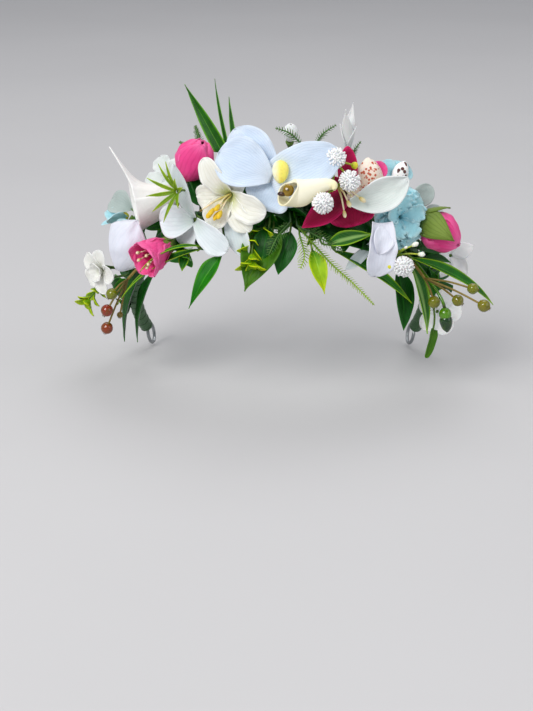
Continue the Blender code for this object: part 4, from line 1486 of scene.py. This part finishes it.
BLOOMS = (
    BlueOrchid("blue_orchid", (-1, -14, 30, -4, 22), (
        Layer(Finish.PALE_BLUE, "petal_pale_blue", (
            Blade(155, 31, 27, 16, 34, (26, 14), base=0.2, widest=0.62, start=3, height=2.5,
                  ruffle=0.05, tip=0.45, rows=30, columns=19),
            Blade(25, 39, 26, 20, 34, (20, 12), base=0.78, widest=0.46, start=-3, height=0.5,
                  ruffle=0.06, tip=0.5, rows=30, columns=19),
        ), ("blue_orchid_petals",)),
        Layer(Finish.BLUE_SHADED_THROAT, "petal_pale_blue", (
            Blade(131, 35, 23, 6, 26, (22, 12), base=0.3, widest=0.58, start=2, height=-1.5,
                  ruffle=0.05, rows=30, columns=19),
            Blade(238, 15, 25, 14, 48, (24, 14), base=0.4, widest=0.55, start=1, height=-0.5, ruffle=0.06),
            Blade(318, 15, 15, 8, 30, (24, 14), base=0.4, widest=0.5, start=1, height=-2),
        ), suffix="back_silk"))),
    Bloom("white_lily", (-14, -28, 21, -24, -4), (
        Layer(Finish.WARM_WHITE, "petal_white", (
            Blade(117, 25, 14, 52, 66, (60, 16), base=0.42, widest=0.6, start=1.2, ruffle=0.05),
            Blade(185, 19, 15, 50, 80, (60, 14), base=0.42, widest=0.62, start=1.2, ruffle=0.07),
            Blade(240, 20, 15, 52, 66, (60, 20), base=0.42, widest=0.6, start=1.2, ruffle=0.06),
            Blade(345, 25, 17, 54, 78, (60, 12), base=0.40, widest=0.62, start=1.2, ruffle=0.08),
            Blade(308, 22, 14, 46, 60, (60, 18), base=0.42, widest=0.62, start=1.2, ruffle=0.06),
            Blade(62, 15, 14, 46, 70, (60, 18), base=0.42, widest=0.6, start=1.2),
        ), ("white_lily_petals",)),
        Layer(Finish.COOL_WHITE, "petal_white", (
            Blade(285, 33, 15, 24, 34, (40, 10), base=0.4, widest=0.66, tip=0.7, start=2, height=-0.5,
                  twist=12),
        ), suffix="back_silk")), shift=(-1, 3.5, -1)),
    Bloom("dogwood", (-27, -40, 18, -30, 8), (
        Layer(Finish.COOL_WHITE, "petal_white", (
            Blade(115, 31, 8, 26, 16, (50, -30), base=0.4, widest=0.6, tip=0.7, twist=60, sweep=-14),
            Blade(190, 19, 19, 28, 30, (44, 24), base=0.34, widest=0.62, ruffle=0.06),
            Blade(228, 18, 19, 2, 20, (30, 14), base=0.34, widest=0.62, height=-2),
            Blade(326, 25, 15, 22, 44, (44, 16), base=0.3, widest=0.66, tip=0.45, ruffle=0.05),
        ), ("dogwood_petals",)),)),
    Bloom("magenta_orchid_bloom", (19, -6, 18, 8, 16), (
        Layer(Finish.MAGENTA, "petal_magenta", (
            Blade(214, 32, 14, 28, 24, (36, 30), base=0.5, widest=0.5, tip=0.9, fold=0.2, start=0),
            Blade(280, 17, 28, 30, 44, (30, 12), base=0.6, widest=0.5, tip=0.42, ruffle=0.10),
            Blade(88, 24, 11, 20, 20, (40, 20), base=0.5, widest=0.5, tip=0.6),
            Blade(150, 13, 11, 14, 20, (40, 20), base=0.5, widest=0.5),
            Blade(12, 13, 13, 24, 36, (40, 20), base=0.5, widest=0.6),
        ), ("magenta_orchid",)),)),
    Bloom("delphinium_bloom", (37, -14, 18, 34, 8), (
        Layer(Finish.TURQUOISE, "petal_turquoise", (
            *ring(Blade(0, 16.5, 15, 26, 40, (40, 20), base=0.3, widest=0.7, tip=0.35, ruffle=0.22,
                        waves=6), 72, 30, 130, 335, 292, 250, 205, 172),
            *ring(Blade(0, 13, 10, 46, 40, (50, 26), base=0.3, widest=0.7, tip=0.35, ruffle=0.24,
                        waves=4, height=1.5), 95, 10, 230, 160, 300),
        ), ("delphinium",), thickness=0.3),)),
    Bloom("lavender_cup", (-52, -28, 24, -26, 2), (
        Layer(Finish.LAVENDER, "petal_lavender", (
            Blade(60, 39, 38, 44, 66, (-78, -50), base=0.32, widest=0.45, tip=0.85, start=-15, height=-5,
                  rows=30, columns=19),
        ), ("lavender_bloom",)),
        Layer(Finish.TURQUOISE, "petal_turquoise", (
            Blade(120, 17, 15, 0, 20, (-40, -30), base=0.4, start=0, height=-6),
            Blade(200, 15, 12, -10, 10, (-30, -20), base=0.4, start=0, height=-6),
        ), suffix="back_silk", thickness=0.3)), shift=(-1.5, -2, 0)),
    Bloom("far_white", (-70, -14, 22, -46, -4), (
        Layer(Finish.PLAIN_WHITE, "petal_white", whorl(Blade(0, 13, 12, 34, 44, (44, 24), widest=0.6), 5),
            ("far_white_bloom",)),
        Layer(Finish.PLAIN_WHITE, "petal_white", whorl(
            Blade(0, 7, 7, 62, 30, (50, 30), widest=0.6, height=1), 5, 36),
            suffix="inner_silk")), (-71, -18)),
    Bloom("turquoise_starlet", (-66, 52, 26, -80, 30), (
        Layer(Finish.TURQUOISE, "petal_turquoise", (
            *ring(Blade(0, 15, 10, 56, 12, (40, 20), widest=0.5, tip=0.7), 210, 270, 330),
        ), ("turquoise_star",)),
        Layer(Finish.BUD_YELLOW, "stamen_yellow", whorl(
            Blade(0, 4, 4, 30, -90, (80, 60), base=0.4), 5), suffix="heart"),
    ), (-66, 50), shift=(0, 7.2, -2.5)),
    Bloom("blush_hood", (24, 14, 27, 14, 14), (
        Layer(Finish.BLUSH_LIP, "petal_blush", (
            Blade(92, 24, 22, 50, 96, (-80, -74), base=0.55, widest=0.5, tip=0.36, start=-9, height=0,
                  rows=26, columns=17),
            Blade(215, 14, 9, 30, 50, (-40, -20), base=0.7, widest=0.5, start=2, height=0),
        ), ("blush_orchid",)),
        Layer(Finish.PINK, "petal_pink", (
            Blade(45, 12, 10, 10, 20, (40, 20), start=1, height=-2),), suffix="pink_silk"),
    ), (28, 40), shift=(0, -2.5, 0)),
    Bloom("spotted_hood", (33, 32, 32, 26, 18), (
        Layer(Finish.BROWN_LIP, "petal_white", (
            Blade(60, 16, 12, 46, 84, (-70, -64), base=0.55, widest=0.5, tip=0.45, start=-5, height=1),
            Blade(205, 17, 7, 20, 30, (-50, -30), base=0.6, widest=0.4, tip=0.7, start=1, height=1),
        ), ("spotted_orchid",)),
        Layer(Finish.TURQUOISE, "petal_turquoise", (
            Blade(136, 12, 11, 20, 30, (40, 20), height=-1),
            Blade(30, 9, 10, 20, 30, (40, 20), height=-1),
            Blade(80, 9, 10, 10, 30, (40, 20), height=-2),
        ), suffix="back_silk", thickness=0.3)), (40, 62), shift=(-2.5, -4, 3)),
    Bloom("white_boat", (29, -8, 31, 22, 12), (
        Layer(Finish.GREEN_WHITE, "petal_white", (
            Blade(-4, 35, 20, -8, -34, (50, 46), base=0.2, widest=0.55, tip=0.66, start=-25, height=2,
                  sweep=44, rows=30, columns=17),
        ), ("boat_petal",), thickness=0.6),), (31, -2), shift=(0, -3.4, 0)),
    Bloom("pale_folded", (31, -62, 25, 20, 0), (
        Layer(Finish.LAVENDER, "petal_lavender", (
            Blade(265, 30, 18, 30, 56, (56, 30), base=0.75, widest=0.6, tip=0.42, ruffle=0.08, start=-11,
                  height=2),
            Blade(74, 16, 13, 20, 66, (70, -10), base=0.1, widest=0.5, tip=0.5, start=-5, height=6),
        ), ("pale_bloom",)),
        Layer(Finish.COOL_WHITE, "petal_white", (
            Blade(222, 21, 7, 4, 10, (30, 10), base=0.4, tip=0.95, height=-3),
            Blade(282, 21, 10, 0, 14, (30, 10), base=0.4, height=-3.5),
        ), suffix="back_silk")), (33, -62)),
    Bloom("white_starlet", (71.8, 27.5, 18.3, 16, 14), (
        Layer(Finish.POMPOM, "petal_white", whorl(
            Blade(0, 13.5, 10, 20, 16, (44, 20), widest=0.45, tip=0.95), 5, 20),
            ("white_star",)),), (72, 18)),
    Bloom("low_white", (72, -76, 28, 12, 10), (
        Layer(Finish.POMPOM, "petal_white", whorl(Blade(0, 13, 12, 34, 34, (50, 26), widest=0.6), 5),
            ("low_white_bloom",)),), (82, -60)),
    Bloom("back_white", (-50, 92, 44, -40, 40), (
        Layer(Finish.GREEN_WHITE, "petal_white", whorl(
            Blade(0, 13, 12, 34, 30, (50, 26), widest=0.6, ruffle=0.1), 4, 45),
            ("back_white_bloom",)),), (-50, 90)),
    Bloom("ranunculus_ball", (-29.9, 65.8, 27, 60, 62), (
        Layer(Finish.PINK, "petal_pink", (
            *whorl(CUPPED, 3, 200, length=32, width=28, rise=16, bend=-136, start=0.5, height=-7),
            *whorl(CUPPED, 3, 140, length=30, width=23, rise=24, bend=-126, start=0.2, height=-6),
        ), ("ranunculus_petals",)),
        Layer(Finish.PINK_DEEP, "petal_pink", whorl(
            CUPPED, 3, 100, length=19, width=12, rise=40, bend=-80, start=0, height=-5), suffix="heart"),
        Layer(Finish.SEPAL, "calyx_green", whorl(SEPAL, 5, 250, height=-8), ("ranunculus_calyx",), "sepals"),
    ), (-29, 66), (4.0, 10.0, 6.0), shift=(-2.4, 0, 1)),
    Bloom("pink_cup", (-40, -50, 17, -44, -16), (
        Layer(Finish.PINK, "petal_pink", whorl(
            Blade(0, 23, 21, 70, 4, (74, 52), base=0.35, widest=0.6, tip=0.45, ruffle=0.10, start=2,
                  height=-5), 5, 20), ("pink_bud_petals",)),
        Layer(Finish.PINK_DEEP, "petal_pink", whorl(
            Blade(0, 18, 15, 82, 6, (76, 60), base=0.35, widest=0.6, start=1, height=-5), 3, 56),
            suffix="heart"),
        Layer(Finish.SEPAL, "calyx_green", whorl(SEPAL, 5, 40, length=12, height=-7),
              ("pink_bud_calyx",), "sepals"),
    ), (-39, -46), (4.0, 9.0, 5.0), shift=(3, -2, 4)),
    Bloom("rosebud_ball", (48, 4, 18, 55, -26), (
        Layer(Finish.PINK, "petal_pink", (
            *whorl(CUPPED, 3, 30, length=34, width=29, rise=20, bend=-136, start=0.6, height=-4),
            *whorl(CUPPED, 3, 90, length=34, width=23, rise=22, bend=-132, start=0.3, height=-4),
        ), ("rosebud_petals",)),
        Layer(Finish.SEPAL, "calyx_green", (
            *ring(SEPAL, 90, length=19, width=11, rise=34, bend=-30, start=3, height=-5),
            *ring(SEPAL, 150, length=33, width=17, rise=38, bend=-62, start=3, height=-5),
            *ring(SEPAL, 204, 330, 270, length=18, start=2, height=-6),
        ), ("rosebud_calyx",), "sepals"),
    ), (53, 8), (4.4, 10.0, 6.0), shift=(0, 2.2, 0.5)),
    Bloom("white_top", (6, 97, 48, 6, 62), (
        Layer(Finish.POMPOM, "petal_white", whorl(Blade(0, 13, 10, 36, -112, (76, 60), base=0.4, tip=0.5), 5),
            ("white_top_bud",)),), (6, 94), (2.4, 5, 0.5), (-3.5, 0, 0)),
    Bloom("feather", (26, 92, 46, 4, 74), (
        Layer(Finish.POMPOM, "petal_white", (
            *whorl(Blade(0, 26, 8, 84, 6, (60, 30), base=0.5, widest=0.3, tip=1.3), 2, 60),
            *ring(Blade(0, 15, 6, 70, -12, (60, 30), base=0.5, widest=0.35, tip=1.3), 170, 330, 20),
        ), ("feather_star",)),), (26, 88), (2.2, 5, 0.5)),
    Bloom("lime_starlet", (-26, -12, 35, -34, 0), (
        Layer(Finish.LIME_SPRIG, "leaf_lime", (
            *ring(NARROW, 118, 158, 192, 222, 252, 100, length=17, width=2.2),
            *ring(NARROW, 75, 300, 30, length=9, rise=50),
        )),), (-37, 20), (1.2, 3.0, 0.3), stalk=0.6),
)

FILAMENTS = (
    Filaments("lily_anther", (-14, -28, 21, -24, -4), (
        ((-0.5, 4.2, 0), (-5.0, -0.8, 10), 1.4, 5.6), ((-0.5, 4.0, 0), (-7.0, -3.0, 9.0), 1.4, 5.0),
        ((-0.2, 3.8, 0), (-1.6, -2.0, 9.5), 1.4, 5.2), ((-0.5, 4.4, 0), (-2.8, 1.0, 9.0), 1.3, 4.6),
        ((-0.8, 3.8, 0), (-4.0, -3.4, 8.6), 1.3, 5.0)), Finish.STAMEN_CREAM, Finish.STAMEN_GOLD,
        "stamen_yellow",
        ("lily_stamens",), 0.4, 0.8),
    Filaments("lily_style", (-14, -28, 21, -24, -4), (
        ((-0.5, 4.2, 0), (-11.5, -1.8, 12), 0.8, 1.6),), Finish.STAMEN_CREAM, Finish.OLIVE_HEART,
        "stamen_yellow", radius=0.55, bow=0.8),
    Filaments("pink_cup_anther", (-40, -50, 17, -44, -16), (
        ((3, -2, 4), (6, 1, 18), 0.9, 2.6), ((3, -2, 4), (1, 2, 19), 0.9, 2.6),
        ((3, -2, 4), (-1, -3, 18), 0.9, 2.6), ((3, -2, 4), (4, -6, 18), 0.9, 2.6),
        ((3, -2, 4), (7, -3, 19), 0.9, 2.6)), Finish.STAMEN_CREAM, Finish.STAMEN_CREAM,
        "stamen_yellow", radius=0.3, bow=0.3),
    Filaments("cream_filler", (19, -6, 18, 8, 16), (
        ((-6, 3, 10), (4, -2.5, 15), 1.3, 4.4), ((-6, 3, 10), (-2, -4, 14), 1.2, 4.0),
        ((-6, 3, 10), (-4, -9, 14), 1.0, 4.0), ((-6, 3, 10), (1, 4, 14), 0.6, 2.4),
        ((-6, 3, 10), (-1, -1, 16), 0.5, 2.0)), Finish.STAMEN_CREAM, Finish.STAMEN_CREAM, "petal_cream",
        radius=0.55),
    Filaments("lime_filler", (19, -6, 18, 8, 16), (
        ((-12, 4, 6), (-7, 14, 10), 0, 0), ((-7, 14, 10), (1, 14.5, 12), 2.0, 3.8),
        ((-7, 14, 10), (-2, 9, 12), 0.8, 2.0), ((-12, 6, 8), (-18, 11, 10), 1.2, 3.0),
        ((-10, 9, 9), (-11, 19, 11), 1.1, 3.6)), Finish.LIME_STEM, Finish.BUD_YELLOW,
        "calyx_green", radius=0.6),
    Filaments("white_bud_filler", (40, -48, 32, 30, 0), (
        ((-8, -5, -6), (-2, 2, 2), 1.3, 4.2), ((-8, -5, -6), (2, -3, 2), 1.3, 4.2),
        ((-8, -5, -6), (-6, 1, 1), 0.7, 2.4)), Finish.LIME_STEM, Finish.BUD_WHITE, "calyx_green", radius=0.5),
    Filaments("pale_bud_filler", (36, -71, 30, 20, 0), (
        ((0, 5, -8), (0, -1, 2), 1.6, 4.0),), Finish.LIME_STEM, Finish.BUD_YELLOW, "calyx_green", radius=0.5),
)

SPRIGS = (
    PompomSprig("pompom_sprig", (13, -12), (14, -12, 23), ((12.2, 2.2, 41), (16, -13.6, 39), (9.7, -34, 43))),
    PompomSprig("pompom_right", (42, -60), (41, -63, 22), ((39, -64, 37.6),), 5.8),
    BerrySprig("left_berries", (-50, -58), (-57, -60, 28), (
        ((-58.8, -58, 40.4), 3.2, 0.0), ((-64.4, -62.5, 43.2), 3.4, 1.0), ((-70.7, -68.5, 45), 3.4, 0.9),
        ((-67.7, -73, 37), 1.8, 0.4))),
    BerrySprig("right_berries", (48, -68), (50, -64, 34), (
        ((54.6, -50.5, 69), 3.4, 0.15), ((54, -47, 57), 3.0, 0.0), ((56.3, -70.6, 41.6), 3.4, 0.05),
        ((57, -57, 49.6), 3.2, 0.1))),
    Acorn(),
    Calla(),
)

SPRAYS = (
    Spray("willow", (((-22, -92, 28), (-39, -98, 50), replace(LEAF, width=11, widest=0.3, tip=1.5)),),
          Finish.MID_LEAF, nodes=("willow_leaf",)),
    Spray("broad", (((-3, -84, 20), (-14, -98, 50), replace(LEAF, width=22, base=0.5, widest=0.3, tip=1.3,
                                                             columns=19)),),
          Finish.BROAD_LEAF, nodes=("broad_leaf",)),
    Spray("dark", (((3, -78, 22), (-1, -97, 42), replace(LEAF, width=13)),
                   ((-4, -74, 20), (-7, -92, 36), replace(LEAF, width=12)),
                   ((14, -78, 18), (36, -72, 24), replace(LEAF, width=14)),
                   ((20, -56, 18), (34, -70, 18), replace(LEAF, width=12)),), Finish.DARK_LEAF,
                   nodes=("dark_leaf",)),
    Spray("lime", (((11, -89, 29), (17, -97, 51), replace(LEAF, width=10, tip=1.4)),), Finish.LIME_LEAF,
          "leaf_lime", ("lime_leaf",)),
    Spray("striped", (((15, -76, 30), (28, -54, 26), replace(BAMBOO, width=9)),), Finish.STRIPED_LEAF,
          nodes=("striped_leaf",)),
    Spray("long", (((19.3, -89, 27), (56, -89, 36), replace(BAMBOO, width=8, bend=30)),), Finish.LIME_TIPPED,
          nodes=("long_leaf",)),
    Spray("spear", (((48.3, -91, 20), (60.2, -99, 48), replace(LEAF, width=15)),), Finish.DARK_LEAF,
          nodes=("spear_leaf",)),
    Spray("strap", (((-29, -81, 24), (-63, -67, 38), replace(BAMBOO, width=7.5, bend=44, twist=20)),
                    ((-28, -76, 24), (-45, -60, 39), replace(BAMBOO, width=4, bend=70, twist=40)),
                    ((-35, -85, 21), (-38, -89, 30), replace(LEAF, width=7))),
          Finish.LIME_TIPPED, "leaf_lime", ("strap_leaf",), (0, -0.3, 1.4)),
    Spray("grey_left", (((-59, 64, 28), (-68, 64, 46), replace(LEAF, width=15, tip=0.5, widest=0.5)),),
          Finish.EUCALYPTUS, "eucalyptus_grey", ("grey_leaf_left",)),
    Spray("grey_right", (((49, 58, 20), (51, 54, 36), replace(LEAF, width=12, tip=0.5, widest=0.5)),
                         ((53, 40, 16), (56, 42, 29), replace(LEAF, width=11, tip=0.5, widest=0.5))),
          Finish.EUCALYPTUS, "eucalyptus_grey", ("grey_leaf_right",)),
    Spray("grass", (((-20.8, 81, 36), (-34.8, 83.5, 90), replace(BLADE, width=8, bend=8)),
                    ((-18.7, 83, 36), (-24.7, 87, 90), replace(BLADE, width=2.2, bend=34)),
                    ((-16.3, 86.5, 36), (-21.7, 93, 82), replace(BLADE, width=3.2, bend=22))),
          Finish.GRASS, nodes=("grass_tuft",)),
    Spray("bamboo_left", (((-56, -68, 16), (-90, -80, 29), replace(BAMBOO, width=12)),
                          ((-52, -84, 20), (-86, -95, 33), replace(BAMBOO, width=10))),
          Finish.DARK_LEAF, nodes=("left_bamboo_leaves",)),
    Spray("bamboo_right", (((50, -70, 20), (67, -87, 46), replace(BAMBOO, width=10)),), Finish.STRIPED_LEAF,
          nodes=("right_bamboo_leaves",)),
    Spray("strap_right", (((46, -59, 24), (78, -28, 42), replace(BAMBOO, width=7.5, bend=34)),),
          Finish.LIME_TIPPED),
    Spray("tail", (((69, -83, 42), (72, -91, 56), replace(LEAF, width=6, tip=0.3, widest=0.2, base=0.8)),),
          Finish.BROAD_LEAF),
)

TWIGS = (
    Twig("boxwood_left", ((-68, -44, 12), (-78, -4, 18), (-80, -15, 23), (-81, -25, 29)), SMALL_LEAF, 7,
         Finish.LIME_LEAF, first=0.4),
    Twig("boxwood_middle", ((-5, -78, 16), (-9, -80, 28), (-10, -86, 38)),
         replace(SMALL_LEAF, length=10, width=6), 8, Finish.LIME_LEAF, first=0.2),
    Twig("leafy_left", ((-33, -84, 8), (-36, -86, 20)), replace(SMALL_LEAF, length=12, width=7), 3,
         Finish.MID_LEAF, "leaf_green", 2),
)

FRONDS = (
    Frond("fern_front", ((5, -67, 21), (17, -88, 35), (27, -93, 42), (38, -95, 49)), 3.4,
          nodes=("fern_front",)),
    Frond("fern_front_left", ((3, -64, 20), (-1, -70, 30), (-4, -80, 38)), 5.0, Finish.FERN_DARK),
    Frond("fern_front_right", ((5, -66, 22), (13, -70, 30), (20, -76, 32)), 5.0, Finish.FERN_DARK),
    Frond("fern_front_low", ((6, -76, 24), (8, -86, 34), (7, -92, 40)), 5.0),
    Frond("fern_top_left", ((-31, 90, 34), (-38, 94, 54), (-47, 94, 68)), 3.2, Finish.FERN_DARK,
          ("fern_top_left",)),
    Frond("fern_top_left_up", ((-30, 90, 40), (-34, 92, 58), (-39, 95, 74)), 3.2, Finish.FERN_DARK),
    Frond("fern_top_right", ((12, 88, 38), (15, 88, 48), (19, 83, 53)), 3.0, Finish.FERN_DARK,
          ("fern_top_right",)),
    Frond("fern_top_middle", ((8, 84, 36), (3, 82, 43), (-2, 79, 45)), 3.4, Finish.FERN_DARK),
    Frond("fern_top_far", ((28, 92, 40), (31, 97, 50), (33, 93, 56)), 3.0, Finish.FERN_DARK),
)

KEPT_STEMS = ("blue_orchid_stem", "white_lily_stem", "dogwood_stem", "magenta_orchid_stem", "delphinium_stem",
              "lavender_bloom_stem", "calla_stem")


# ---- studio ------------------------------------------------------------------------------------


@dataclass(frozen=True)
class Studio:
    """A pale floor, three soft lights and an even pale sky."""

    floor_half: float = 6.0
    gap: float = 0.0015
    sky: float = 0.46

    def floor(self) -> None:
        """A wide flat floor just under the crown."""
        low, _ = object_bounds()
        height = low[2] - self.gap
        half = self.floor_half
        mesh = bpy.data.meshes.new("floor")
        corners = [(-half, -half, height), (half, -half, height), (half, half, height), (-half, half, height)]
        mesh.from_pydata(corners, [], [(0, 1, 2, 3)])
        obj = bpy.data.objects.new("floor", mesh)
        bpy.context.scene.collection.objects.link(obj)
        g = Graph("floor_paint")
        cloud = g.noise(3.0, 3.0)
        g.surface(Base_Color=g.mix(cloud, dye(196, 195, 196), dye(204, 203, 204)),
                  Roughness=cloud * 0.1 + 0.75, Specular_IOR_Level=0.2)
        mesh.materials.append(g.material)
        obj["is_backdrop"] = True

    def light(self, name: str, place: Triple, size: float, watts: float,
              colour: Colour = (1.0, 1.0, 1.0)) -> None:
        """A square soft light that looks at the crown."""
        data = bpy.data.lights.new(name, "AREA")
        data.size, data.energy, data.color = size, watts, colour
        obj = bpy.data.objects.new(name, data)
        obj.location = place
        obj.rotation_euler = (Vector((0, 0, 0.04)) - Vector(place)).to_track_quat("-Z", "Y").to_euler()
        bpy.context.scene.collection.objects.link(obj)

    def build(self) -> None:
        """Makes the floor, lights and sky."""
        self.floor()
        self.light("key", (-0.9, -1.3, 1.3), 0.9, 26.0, (1.0, 0.99, 0.97))
        self.light("fill", (1.4, -0.7, 0.8), 1.2, 5.0)
        self.light("top", (0.1, 0.6, 1.6), 1.2, 9.0)
        world = bpy.data.worlds.new("sky")
        world.use_nodes = True
        world.node_tree.nodes["Background"].inputs[0].default_value = (0.93, 0.95, 1.0, 1.0)
        world.node_tree.nodes["Background"].inputs[1].default_value = self.sky
        bpy.context.scene.world = world
        bpy.context.scene.view_settings.view_transform = "Standard"


@dataclass(frozen=True)
class View:
    """The camera: a long lens in front of the crown and a little above it."""

    distance: float = 0.9
    elevation: float = 17.6
    pitch: float = 19.67
    yaw: float = 0.56
    lens: float = 77.72

    def build(self) -> None:
        """Makes the camera and the scene look through it."""
        data = bpy.data.cameras.new("camera")
        data.lens, data.sensor_width = self.lens, 36.0
        data.clip_start, data.clip_end = 0.01, 50.0
        obj = bpy.data.objects.new("camera", data)
        rise = math.radians(self.elevation)
        obj.location = (0.0, -self.distance * math.cos(rise), self.distance * math.sin(rise))
        obj.rotation_euler = (math.radians(90 - self.pitch), 0.0, math.radians(self.yaw))
        bpy.context.scene.collection.objects.link(obj)
        bpy.context.scene.camera = obj


def main() -> None:
    """Builds the crown and the studio."""
    logging.basicConfig(level=logging.INFO, format="%(message)s")
    band, bench = Band.from_solids(), Bench()
    LOG.info("band: %.1f mm to the side, %.1f mm to the front", band.side, band.front)
    for part in (TapedBand(), *BLOOMS, *FILAMENTS, *SPRIGS, *SPRAYS, *TWIGS, *FRONDS, Filler()):
        part.build(band, bench)
    for node in KEPT_STEMS:
        bench.dress(node, Finish.STEM)
    Studio().build()
    View().build()


if __name__ == "__main__":
    main()
